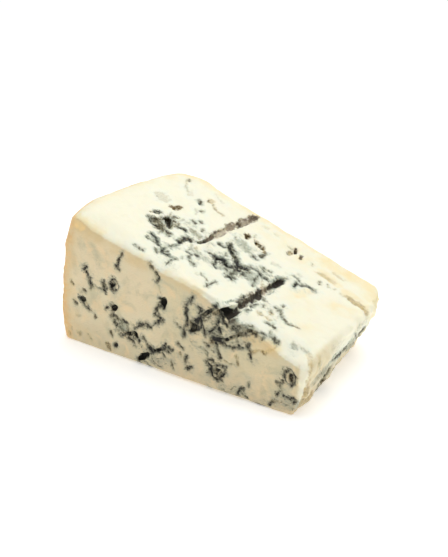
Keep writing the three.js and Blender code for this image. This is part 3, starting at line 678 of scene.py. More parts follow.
FRONT_MARKS = [
    (0.5, 0.3, 0.42, [(13.4, 22.6), (13, 21.6)]),
    (0.5, 0.1, 0.3, [(15.2, 23), (16.6, 22.5), (18.2, 22.6)]),
    (0.8, 0.5, 0.42, [(27.3, 36.5), (26.8, 35.6), (25.9, 34.2), (25.4, 32.9)]),
    (0.9, 0.4, 0.45, [(25.1, 32.5), (24.7, 31.9)]),
    (0.7, 0.4, 0.4, [(25.1, 31.4), (25.7, 30.8)]),
    (0.45, 0.7, 0.45, [(5, 22.2), (5.5, 21.4)]),
    (0.7, 0.4, 0.35, [(9.9, 20.1), (10.9, 19.9)]),
    (0.3, 0.4, 0.3, [(8.5, 19.5), (9.3, 19.3)]),
    (0.85, 0.2, 0.28, [(9.1, 16.2), (9.7, 15.2), (11.2, 14.2), (12.3, 13.6)]),
    (0.35, 0.6, 0.4, [(5.1, 15.7), (5.5, 15.4)]),
    (0.72, 0.4, 0.48, [(5.9, 14.6), (6.5, 14.4)]),
    (0.6, 0.5, 0.48, [(14.6, 12.3), (14.5, 11.7)]),
    (0.2, 0.6, 0.5, [(6.8, 10.5), (7.5, 10.4)]),
    (0.7, 0.4, 0.42, [(19.6, 16.2), (20.4, 16.8)]),
    (0.65, 0.4, 0.48, [(21.5, 13.8), (22.9, 14.9), (24.6, 13.7)]),
    (0.68, 0.2, 0.62, [(22.8, 12.5), (23.9, 11.4)]),
    (0.3, 0.1, 1.2, [(24.8, 12.5), (28, 11.2)]),
    (0.8, 0.3, 0.42, [(25.3, 12.5), (26.3, 13.7), (27.2, 13.2)]),
    (0.8, 0.3, 0.42, [(27.8, 13.3), (28.3, 13.1)]),
    (0.25, 0.4, 0.35, [(29.7, 13.5), (30.8, 13.5)]),
    (0.5, 0.3, 0.32, [(23.4, 9.3), (25.1, 9.9)]),
    (0.5, 0.2, 0.4, [(25.2, 11.1), (26.4, 10.6)]),
    (0.4, 0.2, 0.5, [(27.2, 11.6), (27.8, 11)]),
    (0.78, 0.3, 0.5, [(28.8, 8), (29.9, 7.7), (31, 7.3)]),
    (0.35, 0.3, 0.42, [(31.1, 6.4), (32, 6)]),
    (0.9, 0.3, 0.5, [(33.1, 9.3), (32.9, 8.1)]),
    (0.85, 0.2, 0.4, [(31.1, 12.1), (31.9, 12.7), (33, 13.6)]),
    (0.92, 0.3, 0.52, [(33.1, 13.9), (34.1, 14.5), (35.1, 15), (36.1, 15.2)]),
    (0.9, 0.3, 0.5, [(36.5, 14.8), (37.1, 14.3), (38.1, 14.5)]),
    (0.65, 0.1, 0.26, [(38.1, 14.5), (39.3, 15.9), (40.4, 17)]),
    (0.85, 0.2, 0.5, [(40.7, 16.7), (41.5, 17.6), (42.5, 18.1)]),
    (0.9, 0.2, 0.42, [(39.7, 20), (40.1, 19.2), (40.8, 18.8), (41.7, 18.6)]),
    (0.6, 0.3, 0.38, [(41.1, 20), (41.3, 19.4)]),
    (0.8, 0.3, 0.48, [(40.2, 20.9), (40.6, 21.9), (41.8, 22.7), (42.9, 22.4)]),
    # Painted shadow beside the eye at (43.4, 24), on its left.
    (0.5, 0.3, 0.7, [(41.8, 23.5), (40.8, 22.3)]),
    (0.3, 0.5, 0.2, [(42, 27.5), (41.8, 29.5)]),
    (0.75, 0.4, 0.48, [(40.6, 30.2), (41.1, 31.1), (41.6, 32)]),
    (0.3, 0.6, 0.32, [(37.3, 36.3), (38.3, 35.7)]),
    (0.6, 0.5, 0.4, [(38.1, 35.3), (39.3, 34.5)]),
    (0.6, 0.4, 0.4, [(40.5, 33.6), (41, 33.2)]),
    (0.6, 0.5, 0.48, [(21.1, 8.2), (21.4, 6.9)]),
    (0.85, 0.4, 0.68, [(22.7, 3.8), (23.1, 4.1)]),
    (0.42, 0.7, 0.95, [(19.5, 3.1), (20.3, 1.9)]),
    (0.2, 0.6, 0.35, [(3.3, 5.1), (3.6, 3.7)]),
    (0.32, 0.6, 0.5, [(6.2, 3.4), (7.3, 3.9)]),
    (0.28, 0.6, 0.32, [(10.8, 4.2), (12.2, 2.9)]),
    (0.3, 0.8, 0.5, [(2.1, 2.5), (2.5, 2)]),
    (1.15, 0.2, 0.9, [(37.4, 6.8), (38.2, 6.5)]),
    (0.85, 0.1, 0.42, [(43.4, 9.3), (43.9, 10.6)]),
    (0.85, 0.1, 0.42, [(43.8, 9.3), (45.5, 9.7), (46.7, 9.3)]),
    (0.8, 0.1, 0.42, [(44.5, 8.2), (45.3, 7.9)]),
    (0.6, 0.2, 0.32, [(42.6, 7), (43.6, 5.9)]),
    (0.75, 0.2, 0.4, [(34.6, 10.3), (35.8, 9), (37, 7.6)]),
    (0.7, 0.4, 0.42, [(46.1, 4.9), (46.6, 3.7), (46.9, 2.9)]),
    (0.4, 0.5, 0.32, [(66.1, 11.5), (66.8, 11.3)]),
    (0.28, 0.2, 0.45, [(57.1, 13.4), (59.4, 12.7)]),
    (0.5, 0.2, 0.38, [(59.1, 12.3), (59.7, 10.9)]),
    (0.72, 0.4, 0.4, [(48.6, 12), (49.6, 11.4), (50.6, 10.9)]),
    (0.42, 0.6, 0.35, [(49.8, 9.1), (50, 8.7)]),
    (0.82, 0.3, 0.4, [(52.1, 8.7), (51.4, 7.3), (51.8, 6.5)]),
    (0.85, 0.4, 0.5, [(52.2, 5), (53.5, 5.5), (53.9, 6)]),
    (0.95, 0.35, 0.32, [(21.6, 25.2), (22.3, 26.4), (23.5, 27.3), (24, 26.2), (25, 25.4), (23.9, 23.7),
            (23, 23.2), (22.1, 23.8), (21.6, 25.2)]),
    (1.05, 0.3, 0.4, [(18.7, 22.3), (19.4, 22.1)]),
    (0.95, 0.3, 0.5, [(12.9, 23.6), (13.9, 22.8)]),
    (0.8, 0.3, 0.4, [(11.4, 27.2), (12.5, 25.9), (13.1, 24.8)]),
    (1, 0.4, 0.5, [(10.8, 27.7), (11.9, 28.8)]),
    (1.3, 0.2, 0.7, [(8.8, 16.9), (9.6, 16.1)]),
    (0.95, 0.3, 0.42, [(54.2, 29), (53.6, 27.7), (52.8, 26.6), (51.8, 25.6)]),
    (0.95, 0.3, 0.5, [(51.5, 25), (51.7, 23.6), (51.7, 22.3), (52.2, 21.2)]),
    (0.75, 0.3, 0.32, [(52.2, 20.9), (51.9, 19.3), (51.6, 18.2)]),
    (0.7, 0.2, 0.28, [(47.6, 18.8), (48.4, 18.2), (49.6, 17.9)]),
    (1, 0.3, 0.42, [(50.8, 17.4), (50.9, 16.3), (51.1, 15.4)]),
    (1.05, 0.3, 0.5, [(56.3, 26), (57, 25.6)]),
    (0.95, 0.3, 0.4, [(56.3, 24), (57.2, 25)]),
    (1.1, 0.4, 0.55, [(61.9, 27.7), (62.4, 27.6)]),
    (1, 0.3, 0.65, [(56.7, 22.6), (55.7, 21.5), (55, 21.2)]),
    (0.9, 0.2, 0.5, [(56.4, 21.7), (56.9, 20.5), (56.5, 19.6)]),
    (1.1, 0.2, 0.5, [(53.4, 17.5), (55.2, 18.2), (56.3, 19.3), (56.8, 19.8)]),
    (0.85, 0.2, 0.42, [(57.6, 20), (57.9, 19), (58.3, 18)]),
    (0.95, 0.15, 0.48, [(60.1, 18.7), (60.8, 19.5), (62.1, 20.8)]),
    (0.7, 0.15, 0.35, [(62.1, 20.8), (62.4, 22)]),
    (1.05, 0.2, 0.5, [(63.4, 21.2), (64, 19.9)]),
    (0.75, 0.1, 0.5, [(62.1, 19), (63, 18.9)]),
    (1.25, 0.25, 0.85, [(61.7, 17.3), (62.9, 17.3), (63.6, 17.3)]),
    (1, 0.2, 0.4, [(61.1, 17.5), (61.7, 17.5)]),
    (0.8, 0.2, 0.45, [(62.8, 16.5), (62.8, 14.9)]),
    (0.65, 0.2, 0.35, [(62.8, 14.9), (63.2, 13.7), (63.7, 12.8)]),
    (0.9, 0.5, 0.48, [(63.8, 12.7), (64.2, 11.8)]),
    (0.55, 0.6, 0.9, [(60.8, 15.8), (61.5, 16.6)]),
    (0.7, 0.4, 0.3, [(58.7, 15.3), (59.5, 14.7)]),
    (0.95, 0.5, 0.45, [(59.8, 14.6), (60, 14.5)]),
    (0.95, 0.3, 0.5, [(65.5, 16.8), (65.7, 16.2)]),
    (0.7, 0.3, 0.4, [(64.4, 16.8), (65.4, 17.2)]),
    (1, 0.2, 0.48, [(68.4, 16.1), (69.1, 16.6)]),
    (0.75, 0.1, 0.4, [(69.3, 16.7), (70.5, 17.5)]),
    (0.7, 0.1, 0.32, [(70.7, 17), (72, 17.1)]),
    (0.5, 0.1, 0.5, [(66.4, 16.5), (67.8, 16.1)]),
    (0.85, 0.3, 0.5, [(71.8, 21.3), (72.9, 21.6)]),
    (0.8, 0.2, 0.33, [(69.6, 23.5), (70.8, 23.4), (72.2, 23.7)]),
    (0.95, 0.3, 0.42, [(73.8, 18.8), (73.6, 17.6)]),
    (0.55, 0.6, 0.4, [(74.3, 16.9), (74.2, 16)]),
    (0.9, 0.5, 0.4, [(74.3, 15.9), (74.7, 15)]),
    (0.4, 0.9, 0.4, [(69.7, 14), (69.7, 13.7)]),
    (0.5, 0.2, 0.8, [(63.3, 24.3), (64.2, 24.8)]),
    (0.6, 0.2, 0.5, [(62.8, 22.5), (62.4, 21.7)]),
    (0.5, 0.5, 0.8, [(61.8, 25.6), (63.1, 26.1)]),
    (0.8, 0.5, 0.45, [(66, 23.2), (66.3, 22.5)]),
    (0.85, 0.4, 0.36, [(59.8, 9.8), (61.1, 10.5), (61.6, 9.7)]),
    (0.9, 0.4, 0.4, [(59.5, 8.9), (60.1, 8.4)]),
    (0.95, 0.4, 0.5, [(61.1, 7.8), (60.8, 6.4), (61.3, 5.4)]),
    (0.9, 0.4, 0.35, [(62.5, 8.6), (63.9, 9.4), (65, 9.6), (66.4, 9.4)]),
    (0.95, 0.4, 0.35, [(66.1, 8.9), (66.2, 7.5), (64.9, 5.9), (64.1, 5.8)]),
    (0.85, 0.4, 0.38, [(62, 4.8), (63, 4.2), (64.5, 4.7)]),
    (0.8, 0.4, 0.35, [(62.4, 6.1), (63.4, 6.1)]),
    (0.9, 0.1, 0.38, [(72.6, 4.2), (71.3, 3), (70.5, 1.6)]),
    (0.5, 0.2, 0.35, [(74.2, 6.8), (74.1, 5.4)]),
    (0.6, 0.2, 0.25, [(72.1, 2.5), (73.1, 2), (73.8, 1.1)]),
    (0.85, 0.4, 0.32, [(76.2, -0.2), (78.9, 0.2)]),
    (0.95, 0.4, 0.33, [(86.3, 14.1), (87.7, 14.8), (88.4, 14.1), (89.5, 12.8), (89.1, 10.6), (88.2, 9.8),
            (87, 10.6), (85.9, 11.8), (86.3, 14.1)]),
    (1, 0.5, 0.4, [(86.4, 13.9), (86.4, 13.3)]),
    (0.75, 0.3, 0.42, [(83.6, 9.7), (84.6, 9.4)]),
    (0.8, 0.3, 0.35, [(85.2, 10.5), (85.1, 9.7)]),
    (0.45, 0.3, 0.35, [(84.6, 8.8), (84.6, 7.1)]),
    (0.85, 0.3, 0.45, [(83.7, 5.5), (84.3, 6.2)]),
    (0.95, 0.2, 0.3, [(85.8, 5.8), (86.1, 6)]),
    (0.95, 0.2, 0.32, [(86.6, 5.6), (86.9, 5.7)]),
    (0.95, 0.2, 0.3, [(87.3, 5.5), (87.4, 5.6)]),
    (1, 0.2, 0.4, [(88.1, 5.6), (88.8, 5.6)]),
    (1.1, 0.2, 0.5, [(89, 5.7), (89.4, 5.6)]),
    (0.75, 0.1, 0.5, [(89.3, 5.1), (89.8, 4.9)]),
    (0.75, 0.5, 0.38, [(81.4, 1.3), (81.9, 2.4), (82.5, 2.7)]),
    (0.35, 0.6, 0.35, [(69.7, 14.2), (70, 13.5)]),
    (0.4, 0.7, 0.32, [(70.4, 12.4), (70.7, 11.4)]),
    (0.3, 0.4, 0.3, [(67.5, 10.4), (69.1, 11.4)]),
    (0.5, 1, 0.35, [(78.2, 18.2), (78.6, 17.5), (79.3, 17.3)]),
    # Painted shade: a thin line along the groove at the front corner by the nose.
    (0.13, 1, 0.25, [(90.3, 16.5), (90.4, 13.1), (90.3, 9.1), (89.9, 5.5)]),
    (0.3, 1, 0.35, [(75.1, 16.8), (77.4, 18)]),
    (0.25, 1, 0.35, [(79.1, 17.8), (82, 19.5)]),
]

NOSE_MARKS = [
    (0.27, 1, 0.6, [(2.5, 9.2), (2.4, 7.6), (2.7, 6.2)]),
    (0.27, 1, 0.6, [(3.6, 4.3), (3.2, 3.2), (3.5, 1.5)]),
    (0.27, 1, 0.7, [(5.8, 2.7), (5.4, 1.1)]),
    (0.27, 0.9, 0.6, [(2.4, 8.2), (2.7, 7.8)]),
    (0.25, 1, 1.2, [(10.2, 2.9), (7.7, 2.2)]),
    (0.16, 1, 0.6, [(6.1, 17.6), (4.7, 15.3), (3.8, 13)]),
    (0.85, 0.3, 0.42, [(20.4, 9.8), (21.7, 10.4), (23.8, 10.1)]),
    (0.95, 0.2, 0.55, [(23.8, 10.1), (26.9, 9.6), (30.3, 8.8)]),
    (0.75, 0.3, 0.35, [(29.6, 9.8), (29.5, 11.2)]),
    (0.7, 0.3, 0.28, [(33.2, 7.3), (35.2, 8.3), (41.4, 7.1)]),
    (0.7, 0.4, 0.28, [(32.3, 13.6), (41.6, 7.2)]),
    (0.65, 0.5, 0.6, [(41.2, 9), (41.9, 10), (42, 11.2)]),
    (0.5, 0.3, 0.35, [(14.8, 11.9), (20.4, 9.5)]),
    (0.55, 0.4, 0.4, [(19.1, 7), (18.3, 5.6)]),
    (0.75, 0.4, 0.35, [(12, 7.5), (15.4, 3.2)]),
    (0.8, 0.3, 0.4, [(18.5, 1.6), (16.5, 1.4), (14.3, 1.4)]),
    (0.5, 0.3, 0.3, [(32, 11.4), (32.7, 13.2), (38.5, 11)]),
    (0.4, 0.3, 0.4, [(24.4, 4.1), (31.3, 1.5)]),
]

# Marks down in the hollows and on the torn nose, with their places in x, y and z.
DEEP_MARKS = [
    (1.3, 0.7, 0.75, [(25.7, 24.2, 40.2), (27.3, 24, 40.2)]),
    (1.3, 0.7, 0.7, [(26.5, 24.3, 40), (27.3, 23.6, 39.3)]),
    (1.25, 0.7, 0.5, [(27.2, 23.6, 39.3), (28.3, 22.7, 38.9)]),
    (0.9, 0.35, 0.5, [(26.4, 21.8, 41.4), (25.5, 23.7, 40)]),
    (0.75, 0.35, 0.5, [(22.9, 19.1, 42.3), (24, 18.8, 41.1)]),
    (0.7, 0.35, 0.7, [(25.9, 17.9, 40.7), (27.4, 18.1, 39.7)]),
    (0.6, 0.35, 0.8, [(28, 18.6, 39.9), (29.8, 17.6, 39.8)]),
    (0.55, 0.35, 0.7, [(29.3, 22.7, 39.6), (29.5, 24.1, 40.3)]),
    (0.6, 1, 0.6, [(23.4, 32.5, 41.7), (24, 33.3, 41.2)]),
    (0.3, 0.2, 0.25, [(29.3, 16.1, 39.3), (31, 13.4, 39.7)]),
    (0.95, 0.2, 0.75, [(37.1, 17, 37), (36.9, 16.3, 37.2)]),
    (0.68, 0.9, 0.85, [(46.6, 40.2, 34.2), (47, 41, 33.4)]),
    (0.74, 0.85, 0.8, [(50.6, 40.1, 32.8), (51.8, 40, 32.2), (53.1, 39.5, 31.6), (54.4, 38.7, 31.2)]),
    (1.2, 0.2, 0.65, [(48.2, 19.9, 33.9), (48.9, 19.5, 33.3), (49.9, 20.2, 33.1), (51, 20.9, 32.6),
            (51.5, 20.7, 32.1)]),
    (1.2, 0.2, 0.65, [(51.5, 20.7, 32.1), (52.3, 19.8, 31.8), (53.9, 18.7, 31.9), (54.8, 19.4, 31.7)]),
    (0.85, 0.8, 0.6, [(61, 48.7, 29.4), (61.3, 48.5, 29), (61.8, 47.4, 28.6)]),
    (0.85, 0.8, 0.62, [(64.3, 46.9, 28.4), (64.6, 46.1, 27.7)]),
    (0.26, 1, 0.75, [(88.9, 40.1, 20.3), (90.7, 39.7, 19.5), (92.9, 39, 18.3)]),
    (0.4, 0.9, 0.3, [(91.1, 39.5, 19), (92.8, 38.8, 18.2)]),
    (0.5, 0.1, 0.3, [(79.2, 2.6, 23.3), (79.9, 1.8, 22.6)]),
    (0.5, 0.2, 0.32, [(79.9, 1.8, 22.6), (82.4, 2, 21.1)]),
    (0.28, 0.1, 0.7, [(86.2, 4, 20.5), (87.2, 3.4, 19.9)]),
    (0.22, 0.2, 0.35, [(87.9, 4.7, 20.3), (90.4, 4.7, 19.1)]),
    (0.18, 0.9, 0.7, [(91.2, 4, 18.6), (92.7, 2.9, 17.7)]),
    (0.58, 0.9, 0.8, [(42.2, 54.6, 35.6), (41.2, 53.7, 35.1), (41.2, 51, 35.2)]),
    (0.3, 0.9, 1, [(41.3, 49.9, 35.2), (41.1, 46.4, 35.4)]),
    (0.65, 0.8, 0.4, [(43.1, 53.5, 35.4), (42, 50.4, 34.6), (41.8, 46.7, 34.5)]),
    (0.75, 0.7, 0.7, [(40.6, 46, 36.3), (40.4, 44.7, 35.9), (40.3, 44.2, 35.5)]),
    (0.8, 0.7, 0.5, [(41, 45.9, 35), (41.3, 43.9, 34.7)]),
    (0.4, 0.7, 1.2, [(40.5, 41.8, 35.9), (39.8, 39.4, 35.6)]),
    (0.72, 0.7, 0.4, [(39.7, 42.4, 36.6), (39.9, 38.8, 36.7), (40, 37.1, 35.9)]),
    (0.85, 0.7, 0.4, [(40, 37.1, 36.1), (40.1, 36.7, 35.7)]),
    (0.25, 0.9, 1.2, [(40.3, 36.9, 35.2), (39.8, 33.6, 35.2)]),
    (0.8, 0.7, 0.45, [(39.9, 34.9, 36), (40.1, 31.2, 36.5), (39.9, 29.6, 36.2)]),
    (0.5, 0.8, 0.35, [(41, 36.5, 34.9), (40.5, 33.8, 34.6), (40.7, 31, 34.6)]),
    (0.6, 0.6, 1, [(40.1, 30.5, 35.5), (41, 26.3, 35.9)]),
    (0.9, 0.5, 0.45, [(39.9, 28.8, 36), (40.9, 25.4, 36), (41.2, 25.5, 35.5)]),
    (0.85, 0.4, 0.5, [(41.3, 25.7, 35.5), (41, 23.6, 35.7), (40.5, 21.1, 36.1)]),
    (1.35, 0.3, 0.7, [(67.2, 29.1, 27.2), (66.9, 28.7, 26.6)]),
    (1.35, 0.3, 1.1, [(66.7, 27.5, 26), (66.9, 25, 26.5)]),
    (0.9, 0.7, 0.8, [(66.9, 23, 27.4), (66.9, 21.8, 26.6)]),
    (0.3, 0.9, 0.9, [(66.4, 20.2, 27.3), (66.7, 18.6, 26.8)]),
    (1.15, 0.5, 0.35, [(66.7, 20.1, 26.1), (66.8, 20.5, 25.9)]),
    (0.85, 0.7, 1.6, [(66.8, 16.5, 26.7), (66.8, 15.4, 26)]),
    (1, 0.6, 0.6, [(66.9, 11.6, 26.1), (67.2, 11.6, 25.8)]),
    (0.7, 0.7, 1.2, [(66.4, 13.6, 26.9), (66.3, 10.3, 26.8), (66.2, 8.5, 26.3)]),
    (0.8, 0.6, 1, [(66.1, 6.9, 27.2), (66.1, 6.2, 27.3)]),
    (0.7, 0.2, 0.38, [(68.5, 15.7, 25.6), (70.2, 13.6, 26.5)]),
    (0.8, 0.3, 0.38, [(68.9, 19.2, 26.1), (69.2, 19.7, 26.5)]),
    (0.85, 0.8, 0.6, [(66.8, 4.4, 26.1), (66.7, 5, 26.1)]),
    (1.3, 0.3, 0.7, [(67.2, 3.2, 25.8), (67.3, 3.5, 25.9)]),
    (1.35, 0.25, 1.2, [(64, 2.4, 26.3), (64.9, 3.2, 26.6), (65.9, 2.8, 25.7), (66.1, 1.1, 25)]),
    (0.5, 0.2, 0.5, [(18.7, 0.4, 22.9), (18.9, 0.7, 23.9)]),
    (0.88, 0.2, 0.3, [(9.8, 1.1, 16.3), (11.3, 0.3, 15.4), (12.1, 0.1, 14.2)]),
    (0.92, 0.4, 1.05, [(22.4, 1.1, 17.6), (22.5, 0.8, 16.3)]),
    (0.85, 0.3, 0.7, [(21.8, 0.1, 17.3), (23.8, 0.8, 16.5)]),
    (0.85, 0.3, 0.55, [(25.4, -0.2, 8.4), (27, -0.2, 8.9), (27.2, 0.3, 9.5), (28.4, 0.5, 9.2),
            (29.8, 0.1, 9.2)]),
    (0.92, 0.3, 0.5, [(28.6, 0, 11), (28.6, 0.8, 9.5)]),
    (0.98, 0.3, 0.8, [(30.7, 0.6, 10.8), (31.4, 0.7, 9.8), (32.2, 0.4, 8.8)]),
    (1.15, 0.2, 1.3, [(32.6, 0.6, 1.7), (33.3, 1.2, 2.4), (36, 0.8, 4.2)]),
    (1.05, 0.1, 0.6, [(38.1, -0.3, 6.1), (39, -0.1, 6.6), (40.5, 0.1, 7.3), (42, -0.1, 8),
            (43.4, -0.5, 9.1)]),
    (0.6, 0.1, 0.24, [(77, 1, 22.8), (78.8, 1.1, 22.8), (79.9, 1.7, 22.5)]),
    (0.6, 0.2, 0.38, [(80.9, 1.7, 21.8), (81.9, 1.4, 21.1), (82.6, 1.4, 20.8)]),
    (0.45, 0.1, 0.28, [(70.1, 0.1, 23.4), (71.4, 0.2, 23.8), (73, 0.9, 24.3), (74.5, 0.9, 24.4)]),
    (0.9, 0.3, 0.33, [(18.3, 0, 24.5), (19.1, 0.1, 25.3), (19.2, 0.9, 24.2), (20.2, 0, 23.6),
            (18.9, 0.1, 22.2), (18.5, 0.2, 22.9)]),
    (1.25, 0.3, 0.55, [(22.1, 0.7, 24.3), (22.2, 1.1, 24.5)]),
    (1.3, 0.3, 0.95, [(42.3, 0.6, 24.8), (42.7, 0.9, 22.9)]),
    (1.15, 0.25, 0.8, [(58.6, 1, 24.9), (60, 1, 25.1)]),
    (0.95, 0.3, 0.5, [(59.1, 0.9, 24.4), (58.3, 0.9, 24.7), (57.8, 0.8, 23.8), (57.3, 0.5, 23.5),
            (56.8, 0.4, 22.9)]),
    (0.95, 0.4, 0.45, [(60.1, 1.1, 25.3), (61.4, 0.7, 26.3)]),
    (0.7, 0.2, 0.9, [(54, 1.7, 19.1), (56, 0.2, 19.6)]),
    (1.2, 0.2, 0.95, [(53.2, 1.4, 19), (53.1, 0.9, 18), (53.1, 0.5, 17.6)]),
    (0.85, 0.2, 0.3, [(53.5, 0.2, 21.1), (53.3, 1.4, 19.4)]),
    (1.1, 0.35, 0.7, [(65.9, 0.7, 18), (66.1, 0.6, 17.8)]),
    (0.9, 0.2, 0.36, [(67.1, 0.7, 18.9), (68.2, 0.6, 19.6), (68.8, 0.6, 19.9)]),
    (0.68, 0.4, 0.45, [(69.9, 0.8, 20.5), (70, 0, 19.9), (70.1, 0, 18.7)]),
    (0.75, 0.35, 0.6, [(71.4, 0.5, 21.6), (73.2, 0.1, 22.8), (73.8, 0.8, 22.9)]),
    (0.7, 0.4, 0.3, [(74.6, 0.3, 21.8), (75.1, 0.8, 22.3), (76.1, 1, 22.6)]),
    (0.75, 0.4, 0.32, [(75.5, 0.8, 22.4), (76.2, 0.5, 22)]),
    (0.85, 0.3, 0.34, [(77.9, 0.7, 21.6), (78.1, 0.9, 21.6)]),
    (1.35, 0.25, 1.5, [(64.2, 2.5, 26.1), (65.1, 2.7, 25.8), (66.3, 2.6, 25.4)]),
    (1.35, 0.25, 0.9, [(63.5, 1.6, 26.5), (64.4, 2.9, 26.5)]),
    (1.35, 0.25, 1.2, [(66.2, 1.2, 24.9), (66.1, 2.4, 24.9)]),
    (1.2, 0.3, 0.6, [(66.9, 3.1, 25.8), (67.7, 3, 25.7)]),
    (1.1, 0.3, 0.5, [(64.9, 0.9, 25), (65, 0.2, 24.1), (65.8, 0, 23.5)]),
    (0.85, 0.5, 0.5, [(66.8, 4.6, 26), (68.1, 3.4, 26)]),
    (1.15, 0.4, 0.65, [(62.5, 0.4, 7.4), (63.1, 0.5, 7.1)]),
    (0.5, 0.2, 0.35, [(65.4, -1, 1.8), (66.2, 0.1, 0.2)]),
    (0.8, 0.5, 0.85, [(87.4, 0.9, 12.2), (87.7, 0.8, 11.2)]),
    (0.28, 1, 0.5, [(91.8, 3.8, 18.3), (92.7, 2.8, 17.7), (93.3, 2.2, 16.8)]),
    (0.3, 1, 0.28, [(93.2, 2.1, 16.9), (93.5, 1.1, 15.2), (92.7, 1.9, 12.2), (92, 2.5, 9.4)]),
    (0.6, 0.4, 0.6, [(89.8, 17.2, 5.3), (88.1, 18.2, 2.1), (87.7, 19.9, 1.8)]),
    # The mouth of the front channel, the deep tear, the brown crack and the front channel itself
    (1.35, 0.2, 1.1, [(63.8, 2, 26.5), (65.2, 2.6, 26), (67.2, 3, 25.8)]),
    (1.35, 0.2, 0.9, [(64.9, 1.4, 25.4), (66.3, 1.4, 25), (67.2, 1.3, 24.8)]),
    (1.3, 0.3, 0.45, [(65.3, 0.2, 23.9), (65.3, 0, 23.2)]),
    (1.35, 0.6, 0.7, [(25.5, 23.9, 40.4), (26.5, 24.2, 40.1), (27.5, 24, 40)]),
    (1.35, 0.6, 0.7, [(26.4, 23.9, 39.6), (27.7, 23.2, 38.9)]),
    (1.2, 0.6, 0.4, [(26.5, 24.6, 40.8), (27.4, 25.4, 41)]),
    (0.62, 1, 0.6, [(22.7, 30.9, 42.3), (23.5, 32.1, 41.6), (24.4, 33.8, 41.8)]),
    (0.72, 1, 0.35, [(22.7, 31.4, 42), (23.6, 31.9, 41.1)]),
    (1.35, 0.3, 0.9, [(67.2, 28.7, 26.9), (66.9, 26.1, 26.6)]),
    (1.05, 0.6, 0.9, [(66.8, 25.2, 26.6), (66.6, 23.2, 26.7)]),
    (0.62, 0.6, 0.8, [(66.4, 21.4, 26.6), (66.3, 20.2, 26.6)]),
    (1.05, 0.4, 1.15, [(66.6, 17.6, 26.7), (66.5, 14.7, 26.3)]),
    (0.9, 0.5, 1.1, [(66.6, 13, 26.5), (66.6, 11.6, 26.7), (66.2, 9.2, 26.2)]),
    (0.88, 0.5, 1, [(66.1, 8, 26.2), (66, 6.4, 26.2)]),
    (1.35, 0.2, 0.85, [(64, 0.6, 25.5), (65, 0.2, 24.7), (65.4, 0.1, 23.2)]),
    (0.85, 0.15, 0.8, [(63.6, 0, 24.9), (63.1, -0.1, 23.1)]),
    (0.9, 0.2, 0.45, [(69.8, 0.1, 23.3), (70.7, 0, 23.4), (72.2, 0.3, 23.7)]),
    (0.7, 0.15, 0.8, [(68.7, -0.2, 22.9), (69.6, -0.1, 21.7)]),
    (0.8, 0.2, 0.5, [(67.1, -0.1, 24.2), (68.4, 0, 24.9)]),
]

BACK_MARKS = [
    *((0.8, 0.5, 1.2, path) for path, _ in NEEDLE_HOLES),
    (0.5, 0.6, 0.5, [(56, 15), (59, 13.4), (63, 13.8)]),
]

# Wider clouds of blue-grey on the paste: strength, half width, path.
TOP_CLOUDS = [
    (0.75, 2.6, [(60, 21.5), (63, 19.5)]),
    (0.6, 2.0, [(43, 16), (48.5, 15.5)]),
    (0.45, 1.8, [(31, 9.5), (36, 8.8)]),
    (0.45, 1.8, [(38, 13.5), (38, 10.5)]),
    (0.45, 2.6, [(50, 27), (57, 20)]),
    (0.35, 2.4, [(45, 12), (47, 10)]),
    (0.35, 3.0, [(33, 27), (38, 23)]),
    (0.3, 3.0, [(47, 33), (52, 31)]),
    (0.35, 2.2, [(59, 27.5), (64, 26)]),
    (0.3, 2.4, [(71, 32), (77, 32.5)]),
    (0.3, 2.6, [(68, 31), (69, 33)]),
    (0.22, 2.4, [(74, 11), (80, 6)]),
    (0.2, 2.2, [(80, 2), (88, 2.5)]),
    (0.25, 2.4, [(40, 4), (45, 3)]),
    (0.7, 2.2, [(47.8, 34.6), (52.6, 32.7)]),
    (0.6, 2, [(42.5, 16.4), (46.9, 15.6)]),
    (0.7, 2.2, [(53.4, 16.3), (56.8, 16.9)]),
    (0.6, 2.2, [(59.9, 19), (62.9, 20.1)]),
    (0.6, 1.8, [(37.3, 24.1), (39.6, 24.8)]),
    (0.55, 1.8, [(31, 9.5), (35.2, 9.2)]),
    (0.5, 1.8, [(36.2, 9.9), (38.6, 12)]),
    (0.5, 1.8, [(48.4, 22.4), (51.9, 21.9)]),
    (0.5, 2, [(58.2, 25.2), (60.3, 27.8)]),
    (0.45, 2, [(32, 27.5), (34.9, 28)]),
    (0.5, 1.8, [(62, 26.4), (64.7, 26.9)]),
    (0.4, 1.6, [(41.4, 23.4), (44.6, 24.5)]),
    (0.3, 2.0, [(40.5, 35.4), (47, 37.8)]),
    (0.35, 2.0, [(44.5, 21.5), (47.5, 22)]),
    (0.3, 1.8, [(32, 16), (34.5, 17)]),
    (0.3, 1.8, [(40, 13), (43, 13.5)]),
    (0.3, 1.8, [(49, 15), (51.5, 15.5)]),
    (0.35, 2.0, [(52, 34.5), (55, 35.5)]),
    (0.4, 2.2, [(66, 20.5), (69.5, 21)]),
    (0.4, 2.4, [(68.5, 8.6), (73, 12)]),
    (0.3, 2.0, [(72.5, 27), (77, 31)]),
]
